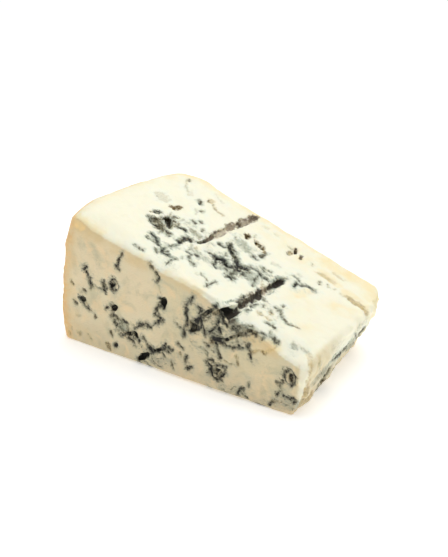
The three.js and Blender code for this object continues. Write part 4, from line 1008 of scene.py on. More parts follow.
FRONT_CLOUDS = [
    (0.95, 1.8, [(68.4, 24.5), (69.5, 22.5)]),
    (0.9, 1.6, [(63.7, 24.8), (62.8, 23)]),
    (0.75, 1.6, [(62, 19.2), (63.3, 20.3)]),
    (0.8, 1.8, [(71, 22.9), (73.7, 22.7)]),
    (0.6, 1.8, [(71, 19.1), (72.7, 19.2)]),
    (0.5, 1.6, [(59.3, 16.4), (60.2, 15)]),
    (0.45, 1.6, [(53.7, 19.7), (56.2, 20.4)]),
    (0.35, 2.2, [(53.8, 24), (55.4, 26.2)]),
    (0.4, 1.8, [(59.8, 22.2), (60.7, 20.8)]),
    (0.5, 1.6, [(65.9, 16.2), (68.5, 17.8)]),
    (0.4, 1.6, [(62.8, 14.1), (64.6, 15.5)]),
    (0.35, 1.8, [(51.9, 18), (50.7, 18.9)]),
    (0.4, 1.4, [(75.8, 21.5), (73.9, 20.2)]),
    (0.5, 1.6, [(71.1, 4.2), (73, 1.7)]),
    (0.4, 1.4, [(75.5, 13.7), (76.8, 13.9)]),
    (0.35, 1.4, [(83, 2.2), (84.5, 2.7)]),
    (0.35, 1.5, [(84.5, 11.8), (84.1, 9.4)]),
    (0.4, 2.6, [(25, 11), (31, 9)]),
    (0.3, 2.0, [(36, 3), (44, 3)]),
    (0.35, 2.4, [(52, 17), (48, 19.5)]),
    (0.4, 1.8, [(85, 7.8), (87.5, 7)]),
    (0.3, 1.8, [(14, 27), (17, 21.5)]),
    (0.3, 1.6, [(9, 18), (8, 20)]),
    (0.3, 2.2, [(71, 3), (74, 5)]),
    (0.3, 2.0, [(51, 7), (47, 9)]),
    (0.3, 2.0, [(62, 12), (57, 13)]),
    (0.6, 2.2, [(60, 23.8), (61.5, 22.5)]),
    (0.6, 2.2, [(65, 20.8), (66.5, 19.5)]),
    (0.6, 2.2, [(60, 14.6), (62, 13.8)]),
    (0.5, 2.2, [(33, 7.5), (35.5, 5.8)]),
    (0.65, 2.4, [(38.5, 3.6), (41.5, 3)]),
    (0.5, 2.0, [(42, 4.5), (47, 5.2)]),
    (0.6, 2.6, [(84, 3.6), (90, 3.2)]),
    (0.5, 2.4, [(65, 2), (72, 3.2)]),
    (0.4, 2.0, [(79, 1.6), (82, 2)]),
    (0.45, 2.0, [(54, 13.5), (57, 12.6)]),
    (0.3, 2.0, [(50, 20.8), (51.5, 20)]),
    (0.7, 1.4, [(65, 22.4), (66.8, 21), (69, 20.6)]),
]

# On the nose, the wide clouds near the front corner are partly painted shade, darkening the part that turns
# from the light.
NOSE_CLOUDS = [
    (0.4, 1.8, [(6.2, 16), (8.4, 11), (12, 12.4)]),
    (0.3, 1.3, [(19, 11.6), (24, 12), (29, 11)]),
    (0.35, 1.4, [(38, 9.4), (46, 10)]),
    (0.7, 2.6, [(6, 10), (20, 11)]),
    (0.75, 3.0, [(31, 11), (38, 7.5)]),
    (0.35, 2.4, [(16, 16), (22, 15)]),
    (0.45, 2.4, [(34, 15.5), (41, 15)]),
]

# Bits of clean paste that stand out within the mould: half width, path.
TOP_PALE = [
    (0.42, [(67.8, 6.5), (69.8, 5.9)]),
    (0.6, [(65.5, 3), (66.4, 3.8)]),
    (0.35, [(67.8, 18.9), (67.6, 21.3), (67.2, 23.8)]),
]
FRONT_PALE = [
    (0.35, [(65.8, 24.6), (65.8, 23.8)]),
    (0.28, [(23.4, 25.8), (24.7, 25.4), (24.3, 24.5)]),
    (0.4, [(10.4, 15.8), (10.9, 15.2)]),
    (0.28, [(64, 22.6), (65.8, 22.1), (66.7, 20.8)]),
    (0.4, [(65.1, 19.4), (65.7, 20)]),
    (0.3, [(63.6, 6.4), (63.8, 6.6)]),
    (0.28, [(86.8, 13.1), (86.8, 11.9), (87.3, 10.6)]),
]

# Where the mould has grown as a fine net through the paste: strength, half width, path.
TOP_NETS = [
    (0.8, 1.8, [(47, 30), (51, 26), (55, 22.5)]),
    (0.9, 2.0, [(49, 19), (54, 18.6), (59, 21.5)]),
    (0.6, 1.8, [(56, 15), (60, 18), (64, 22)]),
    (0.75, 2.2, [(24, 20), (29, 18.6)]),
    (0.5, 1.6, [(31, 11), (36, 12)]),
    (0.7, 1.2, [(37.8, 19), (38, 15)]),
    (0.45, 1.4, [(37, 7), (42, 6)]),
    (0.4, 1.6, [(44, 15), (48, 12)]),
    (0.45, 1.8, [(60, 26), (66, 24)]),
    (0.4, 1.6, [(74, 12), (80, 9)]),
]
FRONT_NETS = [
    (1.0, 2.0, [(24, 12), (28, 9.5), (31, 9.5)]),
    (0.6, 1.4, [(34, 14.6), (37, 14.4)]),
    (0.7, 1.6, [(38, 6), (43, 8)]),
    (0.8, 1.8, [(54, 20), (57, 22), (61, 26)]),
    (0.7, 1.8, [(59, 19), (64, 18.6)]),
    (0.9, 2.0, [(64, 26), (70, 22)]),
    (0.6, 1.6, [(61, 15), (66, 17)]),
    (0.95, 2.0, [(61.6, 7.4), (64, 5.6)]),
    (0.5, 1.5, [(84, 10), (85, 7)]),
]

# Where the paste is yellower, up to golden at full strength: strength, half width, path.
TOP_YELLOWS = [
    (0.5, 5.0, [(72, 52), (86, 53), (92, 48)]),
    (0.28, 5.0, [(6, 44), (12, 52)]),
    (0.22, 6.0, [(50, 50), (66, 46)]),
    (0.3, 4.0, [(84, 30), (92, 34)]),
    (0.2, 6.0, [(76, 24), (84, 14)]),
    (0.4, 2.4, [(75.4, 25.6), (76.2, 30.6)]),
    (0.4, 2.5, [(73, 46), (80, 44)]),
    (0.35, 2.5, [(84, 42), (94, 40)]),
]
FRONT_YELLOWS = [
    (0.88, 2.9, [(4.5, 42), (8, 43.4), (11, 42.6)]),
    (0.55, 3.0, [(12, 41.5), (18, 39.5)]),
    (0.4, 2.6, [(18, 39), (36, 35)]),
    (0.5, 3.0, [(3, 36), (5, 40)]),
    (0.4, 2.0, [(44, 33), (56, 30.5)]),
    (0.6, 2.4, [(74, 21), (82, 19)]),
    (0.35, 3.0, [(2, 6), (12, 3)]),
]


# ---------------------------------------------------------------------------------------------------------
# Painting the marks into the skin

NORMAL_SHARE = 0.45  # how much a place's height above its face counts towards its distance from a mark
DEPTH_LOW = -6.0
DEPTH_HIGH = 0.55
MIX_SHARPNESS = 4.0  # how fast the nearest mark takes over from the others
MIX_REACH = -3.5
MARK_GROWTH = {"front": 0.06, "deep": 0.07, "top": 0.05}
BASE_SEED = 5
PALE_LIFT = 1.6  # clean paste lies this much further from the mould
CLOUD_FADE = 1.6  # a cloud fades out at this many times its half width
STROKE_FADE = 1.5  # and a net or a yellow patch at this many times
CHANNEL_REACH = 2.3  # a channel's wall reaches this far from its path
CHANNEL_RIM = 0.6  # and fades over this length
CHANNEL_SHARES = (1.0, 1.0, 0.7)  # how much of its own colour each channel's wall has
NOSE_CORNER = 89.2  # the front cut fades into the nose from here along its foot


def flattened(face, places):
    """Places with their height above a face drawn in, so that a mark also colours the relief under it."""
    if face == "deep":
        return places
    normal = np.array(FACE_NORMALS[face])
    rise = places @ normal
    return places - (1.0 - NORMAL_SHARE) * rise[:, None] * normal


def path_points(face, path):
    """The path's places on the wedge, as flattened as what is measured against them."""
    if face == "deep":
        return np.array(path, float)
    return flattened(face, np.array([face_point(face, u, v) for u, v in path]))


def reach_of(face, places, path):
    """The distance from each place to a path on a face."""
    points = path_points(face, path)
    nearest = np.full(len(places), np.inf)
    for a, b in zip(points, points[1:]):
        leg = b - a
        share = np.clip((places - a) @ leg / max(leg @ leg, 1e-9), 0.0, 1.0)
        nearest = np.minimum(nearest, np.linalg.norm(places - a - share[:, None] * leg, axis=1))
    return nearest


def near_box(places, face, path, margin):
    """Which places lie in the box round a path, with a margin. It saves measuring all the others."""
    points = path_points(face, path)
    return np.all((places > points.min(0) - margin) & (places < points.max(0) + margin), axis=1)


def random_marks(rng, count, spread_u, spread_v):
    """Wandering marks for a cut face, as mould grows along cracks."""
    marks = []
    for _ in range(count):
        u, v = rng.uniform(*spread_u), rng.uniform(*spread_v)
        heading = rng.uniform(-1.3, 0.1)
        path = [(u, v)]
        for _ in range(rng.randint(2, 5)):
            heading += rng.uniform(-0.8, 0.8)
            u += math.cos(heading) * rng.uniform(0.8, 2.0)
            v += math.sin(heading) * rng.uniform(0.8, 2.0)
            path.append((u, v))
        marks.append((rng.uniform(0.3, 0.98), rng.uniform(0.1, 0.6), rng.uniform(0.25, 0.75), path))
    return marks


def strokes(lists, q, fade):
    """The strength that wide, soft strokes leave at each place."""
    strength = np.zeros(len(q))
    for face, marks in lists:
        flat = flattened(face, q)
        for strong, half, path in marks:
            near = near_box(flat, face, path, half * fade + 0.5)
            reach = reach_of(face, flat[near], path)
            share = strong * (1.0 - smoothstep(reach, 0.2 * half, fade * half))
            strength[near] = np.maximum(strength[near], share)
    return strength


def three_noises(p, size, lifts):
    return np.stack([noise_at(p, size, lift) for lift in lifts], axis=1)


def wandered(p):
    """Places shifted by noise, so that what is painted by them gets uneven edges."""
    drift = three_noises(p, 1.8, (10.0, 20.0, 30.0)) * 0.32
    drift += three_noises(p, 0.8, (40.0, 50.0, 60.0)) * 0.26
    return p + drift


def base_marks():
    """Marks on the base: most in its front half, and a few all over."""
    rng = random.Random(BASE_SEED)
    return random_marks(rng, 70, (20, 66), (4, 34)) + random_marks(rng, 22, (8, 86), (4, 52))


def mould_fields(p, q):
    """How deep in the mould each place lies, and how dark and how warm the mould is there."""
    swell = 1.0 + 0.5 * noise_at(p, 1.4, 70.0) + 0.2 * noise_at(p, 0.7, 71.0)
    weight, tone, warmth = np.zeros((3, len(p)))
    depth = np.full(len(p), DEPTH_LOW)
    faces = [("top", TOP_MARKS), ("front", FRONT_MARKS), ("nose", NOSE_MARKS), ("back", BACK_MARKS)]
    for face, marks in faces + [("base", base_marks()), ("deep", DEEP_MARKS)]:
        flat = flattened(face, q)
        for dark, warm, half, path in marks:
            near = near_box(flat, face, path, half - DEPTH_LOW)
            inside = half * swell[near] + MARK_GROWTH.get(face, 0.0) - reach_of(face, flat[near], path)
            pull = np.exp(MIX_SHARPNESS * np.maximum(inside, MIX_REACH))
            weight[near] += pull
            tone[near] += pull * dark
            warmth[near] += pull * warm
            depth[near] = np.maximum(depth[near], inside)
    weight = np.maximum(weight, 1e-9)
    return depth, tone / weight, warmth / weight


def pale_field(q):
    """Where clean paste stands out within the mould."""
    pale = np.zeros(len(q))
    for face, marks in (("top", TOP_PALE), ("front", FRONT_PALE)):
        flat = flattened(face, q)
        for half, path in marks:
            near = near_box(flat, face, path, half + 2.0)
            clean = smoothstep(half - reach_of(face, flat[near], path), -0.2, 0.3)
            pale[near] = np.maximum(pale[near], clean)
    return pale


def cloud_field(q, far, depth, tone, warmth):
    """Blue-grey on the paste: the wide clouds, and a halo round mould that is dark and cool."""
    cloud = strokes((("top", TOP_CLOUDS), ("front", FRONT_CLOUDS), ("nose", NOSE_CLOUDS)), q, CLOUD_FADE)
    halo = 0.95 - 0.2 * smoothstep(far["front"], -3.0, -1.0)
    halo = halo * (1.0 - 0.85 * smoothstep(warmth, 0.45, 0.8))
    return np.maximum(cloud, halo * tone * smoothstep(depth, -2.0, 0.2))


def channel_field(p):
    """How far each place belongs to a needle channel's wall."""
    channel = np.zeros(len(p))
    for share, (face, path, *_) in zip(CHANNEL_SHARES, CHANNELS):
        reach = reach_of(face, flattened(face, p), path)
        wall = share * (1.0 - smoothstep(reach, CHANNEL_REACH - CHANNEL_RIM, CHANNEL_REACH))
        channel = np.maximum(channel, wall)
    return channel


def front_cut_fields(p, far):
    """Where the paste takes the front cut's colour, drier and partly painted shade, and where the top's edge
    beside it is made paler as painted light.
    """
    edge = far["front"] - far["top"] + 0.25 * noise_at(p, 2.5, 81.0)
    near_front = smoothstep(far["front"], -7.0, -5.0)
    nose = smoothstep(far["nose"], -1.0, -0.2)
    corner = smoothstep(p[:, 0] - NOSE_CORNER - 0.08 * p[:, 2], -0.3, 0.9)
    front_cut = smoothstep(edge, 0.1, 0.6) * near_front * (1.0 - nose) * (1.0 - 0.6 * corner)
    # The low, front part of the nose takes the front cut's colour as well: partly drier paste, partly painted
    # shade where the nose turns from the light.
    low_nose = np.maximum(1.0 - smoothstep(p[:, 1], 8.0, 24.0), 1.0 - smoothstep(p[:, 2], 6.0, 12.0))
    nose_dry_and_shade = smoothstep(p[:, 1], 0.0, 2.0) * low_nose
    front_cut = np.maximum(front_cut, 0.85 * nose_dry_and_shade * smoothstep(far["nose"], -2.5, -0.8))
    # The second is painted light: the top's edge rolling down to the front cut made paler, against the shade
    # its roll gets.
    return front_cut, smoothstep(edge, -4.0, -0.4) * near_front * (1.0 - front_cut)


def rind_fields(far):
    """How deep each place lies under the round rind, and under the flat one, which rounds their corner."""
    on_top = smoothstep(far["top"], -2.5, -0.3)
    heel = EDGE_RADII[("rind", "back")]
    heel_depth = heel - np.hypot(np.maximum(far["rind"] + heel, 0.0), np.maximum(far["back"] + heel, 0.0))
    return 2.2 * on_top - far["rind"], 1.6 * on_top + heel_depth


def paint(wedge):
    """Writes the mould, the clouds round it and the closeness of the rind into the skin's attributes."""
    p = to_wedge(vertices(wedge))
    q = wandered(p)
    far = face_distances(p)
    pale = pale_field(q)
    depth, tone, warmth = mould_fields(p, q)
    depth = np.clip(depth, DEPTH_LOW, DEPTH_HIGH) - PALE_LIFT * pale
    front_cut, painted_edge_light = front_cut_fields(p, far)
    rind_depth, back_depth = rind_fields(far)
    fields = {
        "mould_depth": depth,
        "tone": tone,
        "warmth": warmth,
        "cloud": cloud_field(q, far, depth, tone, warmth) * (1.0 - pale),
        "net": strokes((("top", TOP_NETS), ("front", FRONT_NETS)), q, STROKE_FADE),
        "yellow": strokes((("top", TOP_YELLOWS), ("front", FRONT_YELLOWS)), q, STROKE_FADE),
        "channel": channel_field(p),
        "rind_depth": rind_depth,
        "back_depth": back_depth,
        # The front cut's colours are partly painted shade; the edge field below them is painted light on the
        # top's rolled edge.
        "front_cut": front_cut,
        "painted_edge_light": painted_edge_light,
    }
    for name, values in fields.items():
        layer = wedge.data.attributes.new(name, "FLOAT", "POINT")
        layer.data.foreach_set("value", np.ascontiguousarray(values, dtype=np.float32))
    return p, fields


CRACK_DEPTH = 0.1  # how deep the mould's cracks are pressed in
DARK_CRACK_DEPTH = 0.28  # and how much deeper where they are dark
CRUMB_HEIGHT = 0.05  # how far the crumb stands
BROKEN_CRUMB_HEIGHT = 0.17  # and how much further where mould has broken the paste
NOSE_CRUMB = (0.3, 0.2)  # the torn nose's own coarse and fine crumb
SLACK = 0.02  # the skin stays this far inside the solid's box


def carve(wedge, p, fields):
    """Presses the mould's cracks in and lifts the crumb of the torn and cut faces."""
    far = face_distances(p)
    outward = normals(wedge)
    on_base = smoothstep(far["base"], -1.2, -0.3)
    on_rind = smoothstep(np.maximum(far["rind"], far["back"]), -1.5, -0.2)
    on_nose = smoothstep(far["nose"], -2.0, -0.3)
    on_top = smoothstep(far["top"], -2.0, -0.4) * (1.0 - on_nose)
    relief = on_rind * 0.08 * noise_at(p, 2.4, 31.0) + on_top * 0.06 * noise_at(p, 3.0, 32.0)
    upright = noise_at(p * [1.0, 1.0, 0.45], 3.2, 40.0)
    relief += on_nose * (NOSE_CRUMB[0] * upright + NOSE_CRUMB[1] * noise_at(p, 1.5, 41.0))
    mould = smoothstep(fields["mould_depth"], -0.3, 0.3)
    broken = np.clip(fields["cloud"] * 0.9 + mould * 0.7, 0.0, 1.0)
    crumb = noise_at(p, 1.5, 50.0) * 0.7 + noise_at(p, 0.85, 51.0) * 0.4
    relief += crumb * (CRUMB_HEIGHT + BROKEN_CRUMB_HEIGHT * broken)
    relief -= mould * (CRACK_DEPTH + DARK_CRACK_DEPTH * fields["tone"])
    relief *= 1.0 - on_base
    moved = p + outward * relief[:, None]
    places = to_metres(moved)
    low, high = np.array(LOW) + SLACK * MM, np.array(HIGH) - SLACK * MM
    low[2] = 0.0
    set_vertices(wedge, np.clip(places, low, high))


# ---------------------------------------------------------------------------------------------------------
# Material

def srgb(red, green, blue):
    """A colour given from 0 to 255, as the linear values that a shader takes."""
    def linear(part):
        share = part / 255.0
        return share / 12.92 if share <= 0.04045 else ((share + 0.055) / 1.055) ** 2.4
    return (linear(red), linear(green), linear(blue), 1.0)


# Most colours of the paste and of the clouds come in pairs, one for the top and a darker, warmer one for the
# front cut: the front cut's are partly its drier paste and partly painted shade of that side.
PASTE = srgb(250, 246, 221)
PASTE_DRY_SHADED = srgb(238, 221, 183)
# Painted shade: the front cut's paste darkened towards its foot, near the floor.
PASTE_FOOT_SHADE = srgb(221, 206, 170)
PASTE_DULL = srgb(227, 213, 173)
# Painted shade: the same darkening towards the foot, nearer the nose.
PASTE_DULL_FOOT_SHADE = srgb(228, 208, 169)
PASTE_GREEN = srgb(219, 214, 176)
PASTE_GREEN_LOW = srgb(190, 184, 148)
PASTE_YELLOW = srgb(250, 233, 186)
PASTE_YELLOW_LOW = srgb(230, 206, 156)
PASTE_GOLD = srgb(255, 222, 154)
PASTE_PEACH = srgb(246, 220, 174)
# Painted light on the top's rolled edge by the front cut.
PASTE_EDGE_LIGHT = srgb(255, 251, 226)
PASTE_WHITE = srgb(243, 246, 228)
PASTE_WHITE_LOW = srgb(226, 220, 186)
PASTE_GREY_LOW = srgb(206, 202, 174)
RIND = srgb(244, 204, 144)
RIND_DARK = srgb(229, 184, 122)
RIND_BLOOM = srgb(242, 220, 176)
MOULD_BLACK = srgb(20, 19, 10)
MOULD_GREY = srgb(108, 112, 94)
MOULD_CLOUD = srgb(180, 188, 168)
CLOUD_LOW = srgb(172, 170, 146)
BROWN_DARK = srgb(66, 47, 22)
BROWN = srgb(140, 118, 76)
TAN = srgb(218, 192, 130)
WALL = srgb(206, 188, 170)
WALL_BROWN = srgb(126, 112, 94)
WALL_DARK = srgb(52, 44, 33)

STREAK_TURN = math.radians(-19.0)
STREAK_STRETCH = (3.2, 1.0, 1.0)

# Painted shade: the front cut is painted darker towards its foot, near the floor.
FOOT_SHADE_HEIGHTS = (1.0, 16.0)  # the front cut darkens towards its foot between these heights
DULL_PASTE = (36.0, 50.0)  # and gets duller between these places along
RIND_RIM = (1.0, 11.0)  # the paste is yellower under the round rind, fading between these depths
BACK_RIM = (0.6, 9.0)  # and under the flat rind
RIND_DEPTH = (1.2, 5.4)  # the round rind itself gives way to paste between these depths
BACK_RIND_DEPTH = (0.0, 1.4)  # and so does the flat rind

SUBSURFACE_SHARE = 0.2
SUBSURFACE_RADIUS = (1.0, 0.75, 0.42)
SUBSURFACE_DEPTH = 0.7
GLOSS = 0.35
ROUGHNESS = (0.46, 0.66)
RIND_ROUGHER = 0.2
BUMP_STRENGTH = 0.7
BUMP_HEIGHT = 0.4


class Shader:
    """A material's node tree, with one short call for each kind of node."""

    def __init__(self, name):
        self.material = bpy.data.materials.new(name)
        self.material.use_nodes = True
        self.tree = self.material.node_tree
        self.surface = self.tree.nodes["Principled BSDF"]
        self.place = self.tree.nodes.new("ShaderNodeTexCoord").outputs["Object"]
        self.along = self.node("ShaderNodeSeparateXYZ", {"Vector": self.place}, "X")
        self.height = self.node("ShaderNodeSeparateXYZ", {"Vector": self.place}, "Z")

    def link(self, source, socket):
        if hasattr(source, "is_linked"):
            self.tree.links.new(source, socket)
        else:
            socket.default_value = source

    def node(self, kind, inputs, output=0, **settings):
        node = self.tree.nodes.new(kind)
        for name, value in settings.items():
            setattr(node, name, value)
        for name, source in inputs.items():
            self.link(source, node.inputs[name])
        return node.outputs[output]

    def field(self, name):
        return self.node("ShaderNodeAttribute", {}, "Fac", attribute_name=name)

    def math(self, operation, *sources, clamp=False):
        inputs = dict(enumerate(sources))
        return self.node("ShaderNodeMath", inputs, operation=operation, use_clamp=clamp)

    def step(self, value, low, high, out_low=0.0, out_high=1.0):
        inputs = {"Value": value, "From Min": low, "From Max": high, "To Min": out_low, "To Max": out_high}
        return self.node("ShaderNodeMapRange", inputs, interpolation_type="SMOOTHSTEP")

    def noise(self, size, detail=3.0, roughness=0.55, stretch=(1.0, 1.0, 1.0), warp=0.0):
        """Noise from 0 to 1 with features of the given size, drawn out along the streaks in the paste."""
        inputs = {"Vector": self.place, "Rotation": (0.0, 0.0, STREAK_TURN), "Scale": stretch}
        place = self.node("ShaderNodeMapping", inputs, vector_type="TEXTURE")
        inputs = {"Vector": place, "Scale": 1.0 / (size * MM), "Detail": detail, "Roughness": roughness}
        inputs["Distortion"] = warp
        return self.node("ShaderNodeTexNoise", inputs)

    def cells(self, size, warp):
        """How near a place is to the walls between warped cells, from 0 at a wall."""
        bend = self.node("ShaderNodeTexNoise", {"Vector": self.place, "Scale": 1.0 / (size * MM)}, "Color")
        bend = self.node("ShaderNodeVectorMath", {0: bend, 1: (0.5, 0.5, 0.5)}, operation="SUBTRACT")
        bend = self.node("ShaderNodeVectorMath", {0: bend, "Scale": warp * MM}, operation="SCALE")
        place = self.node("ShaderNodeVectorMath", {0: self.place, 1: bend}, operation="ADD")
        inputs = {"Vector": place, "Scale": 1.0 / (size * MM)}
        return self.node("ShaderNodeTexVoronoi", inputs, "Distance", feature="DISTANCE_TO_EDGE")

    def add(self, *sources):
        total = sources[0]
        for source in sources[1:]:
            total = self.math("ADD", total, source)
        return total

    def times(self, *sources):
        total = sources[0]
        for source in sources[1:]:
            total = self.math("MULTIPLY", total, source)
        return total

    def blend(self, share, first, second, mode="MIX"):
        inputs = {0: share, 6: first, 7: second}
        return self.node("ShaderNodeMix", inputs, 2, data_type="RGBA", blend_type=mode)


def paste_colour(shader):
    """Ivory on the top; on the front cut drier and darker, partly as painted shade of that side, with painted
    shade towards its foot and painted light on the top's edge beside it; whiter round the veins, and yellower
    towards the rinds.
    """
    front = shader.field("front_cut")
    # Painted shade, darker towards the foot of the front cut.
    low = shader.step(shader.height, FOOT_SHADE_HEIGHTS[0] * MM, FOOT_SHADE_HEIGHTS[1] * MM, 1.0, 0.0)
    start, end = to_metres([[x, 0.0, 0.0] for x in DULL_PASTE])[:, 0]
    further = shader.step(shader.along, start, end)
    near_rind = shader.blend(low, PASTE_DRY_SHADED, PASTE_FOOT_SHADE)
    near_nose = shader.blend(low, PASTE_DULL, PASTE_DULL_FOOT_SHADE)
    # The front cut's darker paste is partly painted shade of that side.
    colour = shader.blend(front, PASTE, shader.blend(further, near_rind, near_nose))
    # Painted light: the top's rolled edge by the front cut made paler.
    colour = shader.blend(shader.times(shader.field("painted_edge_light"), 0.8), colour, PASTE_EDGE_LIGHT)
    green = shader.step(shader.noise(7.0, 4.0, 0.6, warp=0.5), 0.47, 0.7, 0.0, 0.6)
    green = shader.times(green, shader.step(front, 0.0, 1.0, 0.2, 1.0))
    green = shader.times(green, shader.step(shader.field("yellow"), 0.0, 0.5, 1.0, 0.0))
    colour = shader.blend(green, colour, shader.blend(front, PASTE_GREEN, PASTE_GREEN_LOW))
    peach = shader.times(shader.step(shader.noise(6.5, 3.0, warp=0.4), 0.5, 0.68, 0.0, 0.7), front)
    colour = shader.blend(peach, colour, PASTE_PEACH)
    patch = shader.step(shader.noise(2.6, 4.0, 0.6), 0.35, 0.65, 0.35, 1.0)
    near_vein = shader.step(shader.field("mould_depth"), -4.2, -0.5, 0.0, 0.85)
    cool = shader.step(shader.field("warmth"), 0.35, 0.8, 1.0, 0.15)
    white = shader.blend(front, PASTE_WHITE, shader.blend(further, PASTE_WHITE_LOW, PASTE_GREY_LOW))
    near_vein = shader.times(near_vein, shader.step(front, 0.0, 1.0, 1.0, 0.6))
    colour = shader.blend(shader.times(near_vein, patch, cool), colour, white)
    wander = shader.step(shader.noise(5.0, 3.0), 0.3, 0.7, -0.15, 0.15)
    rim = shader.step(shader.field("rind_depth"), *RIND_RIM, 0.5, 0.0)
    back_rim = shader.step(shader.field("back_depth"), *BACK_RIM, 0.55, 0.0)
    yellow = shader.math("MAXIMUM", shader.math("MAXIMUM", rim, back_rim), shader.field("yellow"))
    yellow = shader.add(yellow, shader.times(wander, shader.step(yellow, 0.0, 0.3)))
    edge = shader.blend(front, PASTE_YELLOW, PASTE_YELLOW_LOW)
    colour = shader.blend(shader.step(yellow, 0.0, 0.7), colour, edge)
    return shader.blend(shader.step(yellow, 0.55, 1.0), colour, PASTE_GOLD)


def rind_colour(shader):
    """Cream to orange-beige, blotched, with a pale bloom."""
    blotch = shader.step(shader.noise(9.0, 4.0, 0.6, warp=0.6), 0.42, 0.7)
    colour = shader.blend(blotch, RIND, RIND_DARK)
    bloom = shader.step(shader.noise(3.0, 5.0, 0.65), 0.5, 0.66, 0.0, 0.6)
    return shader.blend(bloom, colour, RIND_BLOOM)


def mould_colour(shader):
    """From tan and green-grey where the mould is thin to near black where it is thick."""
    mottle = shader.step(shader.noise(0.8, 5.0, 0.7), 0.32, 0.68, -0.26, 0.22)
    mottle = shader.times(mottle, shader.step(shader.field("channel"), 0.0, 0.7, 1.0, 0.4))
    mottle = shader.times(mottle, shader.step(shader.field("warmth"), 0.7, 1.0, 1.0, 0.6))
    core = shader.step(shader.field("mould_depth"), -0.4, 0.35, 0.62, 1.0)
    tone = shader.add(shader.times(shader.field("tone"), core), mottle)
    warmth = shader.field("warmth")
    faint = shader.blend(warmth, MOULD_CLOUD, TAN)
    thin = shader.blend(warmth, MOULD_GREY, BROWN)
    thick = shader.blend(shader.step(warmth, 0.4, 1.0), MOULD_BLACK, BROWN_DARK)
    colour = shader.blend(shader.step(tone, 0.1, 0.5), faint, thin)
    colour = shader.blend(shader.step(tone, 0.46, 0.86), colour, thick)
    wall = shader.blend(shader.step(tone, 0.1, 0.6), WALL, WALL_BROWN)
    wall = shader.blend(shader.step(tone, 0.5, 0.95), wall, WALL_DARK)
    return shader.blend(shader.field("channel"), colour, wall)


def mould_cover(shader):
    """How far the mould covers the paste: ragged, drawn into streaks, with nets and specks round it."""
    depth = shader.field("mould_depth")
    rag = shader.math("SUBTRACT", shader.noise(0.7, 5.0, 0.7), 0.5)
    patch = shader.math("SUBTRACT", shader.noise(1.6, 3.0, 0.6), 0.5)
    streak = shader.math("SUBTRACT", shader.noise(0.6, 4.0, 0.6, STREAK_STRETCH), 0.5)
    streak = shader.times(streak, shader.step(shader.field("front_cut"), 0.0, 1.0, 1.1, 0.3))
    ragged = shader.add(shader.times(rag, 1.5), shader.times(patch, 1.0), streak)
    ragged = shader.times(ragged, shader.step(depth, -0.2, 0.5, 0.75, 1.5))
    ragged = shader.times(ragged, shader.step(shader.field("tone"), 0.9, 1.2, 1.0, 0.5))
    cover = shader.step(shader.add(depth, ragged), -0.5, 0.45)
    cover = shader.times(cover, shader.step(shader.field("tone"), 0.0, 0.5, 0.15, 1.0))
    cloud = shader.field("cloud")
    speck = shader.noise(0.75, 4.0, 0.62, (2.4, 1.0, 1.0), warp=0.6)
    speck = shader.step(shader.add(speck, shader.times(cloud, 0.1)), 0.58, 0.7)
    speck = shader.times(speck, shader.step(cloud, 0.12, 0.6, 0.0, 0.85))
    wall = shader.add(shader.cells(1.35, 1.1), shader.times(rag, 0.16))
    wall = shader.times(shader.step(wall, 0.03, 0.24, 1.0, 0.0), 0.9)
    grown = shader.step(shader.add(shader.field("net"), shader.times(patch, 0.9)), 0.35, 0.75)
    cover = shader.math("MAXIMUM", cover, speck)
    return shader.math("MAXIMUM", cover, shader.times(wall, grown), clamp=True)


def blue_cheese():
    """The whole wedge's material: paste, rinds, clouds and mould, laid over one another in that order."""
    shader = Shader("blue_cheese")
    fuzz = shader.step(shader.noise(1.6, 4.0), 0.3, 0.7, -0.6, 0.6)
    rind_share = shader.step(shader.add(shader.field("rind_depth"), fuzz), *RIND_DEPTH, 1.0, 0.0)
    back_share = shader.step(shader.add(shader.field("back_depth"), fuzz), *BACK_RIND_DEPTH, 1.0, 0.0)
    rind_share = shader.math("MAXIMUM", rind_share, back_share)
    colour = shader.blend(rind_share, paste_colour(shader), rind_colour(shader))
    fine_haze = shader.math("SUBTRACT", shader.noise(0.6, 5.0, 0.75, (2.0, 1.0, 1.0)), 0.5)
    wide_haze = shader.math("SUBTRACT", shader.noise(1.6, 3.0, 0.6, (1.7, 1.0, 1.0)), 0.5)
    haze = shader.add(shader.times(fine_haze, 1.5), shader.times(wide_haze, 0.8))
    cloud = shader.step(shader.add(shader.field("cloud"), haze), 0.15, 0.95, 0.0, 0.95)
    # The front cut's darker cloud colour is partly painted shade of that side.
    colour = shader.blend(cloud, colour, shader.blend(shader.field("front_cut"), MOULD_CLOUD, CLOUD_LOW))
    mould = mould_cover(shader)
    colour = shader.blend(mould, colour, mould_colour(shader))
    bsdf = shader.surface
    shader.link(colour, bsdf.inputs["Base Color"])
    bsdf.inputs["Subsurface Weight"].default_value = SUBSURFACE_SHARE
    bsdf.inputs["Subsurface Radius"].default_value = SUBSURFACE_RADIUS
    bsdf.inputs["Subsurface Scale"].default_value = SUBSURFACE_DEPTH * MM
    bsdf.inputs["Specular IOR Level"].default_value = GLOSS
    rough = shader.step(shader.noise(2.2, 4.0), 0.3, 0.7, *ROUGHNESS)
    rough = shader.add(rough, shader.times(rind_share, RIND_ROUGHER))
    shader.link(rough, bsdf.inputs["Roughness"])
    fine = shader.times(shader.noise(0.5, 5.0, 0.65), 0.4)
    coarse = shader.times(shader.noise(2.0, 5.0, 0.6), 0.8)
    height = shader.math("SUBTRACT", shader.add(fine, coarse), shader.times(mould, 0.6))
    inputs = {"Height": height, "Strength": BUMP_STRENGTH, "Distance": BUMP_HEIGHT * MM}
    shader.link(shader.node("ShaderNodeBump", inputs), bsdf.inputs["Normal"])
    return shader.material


# ---------------------------------------------------------------------------------------------------------
# Making the wedge

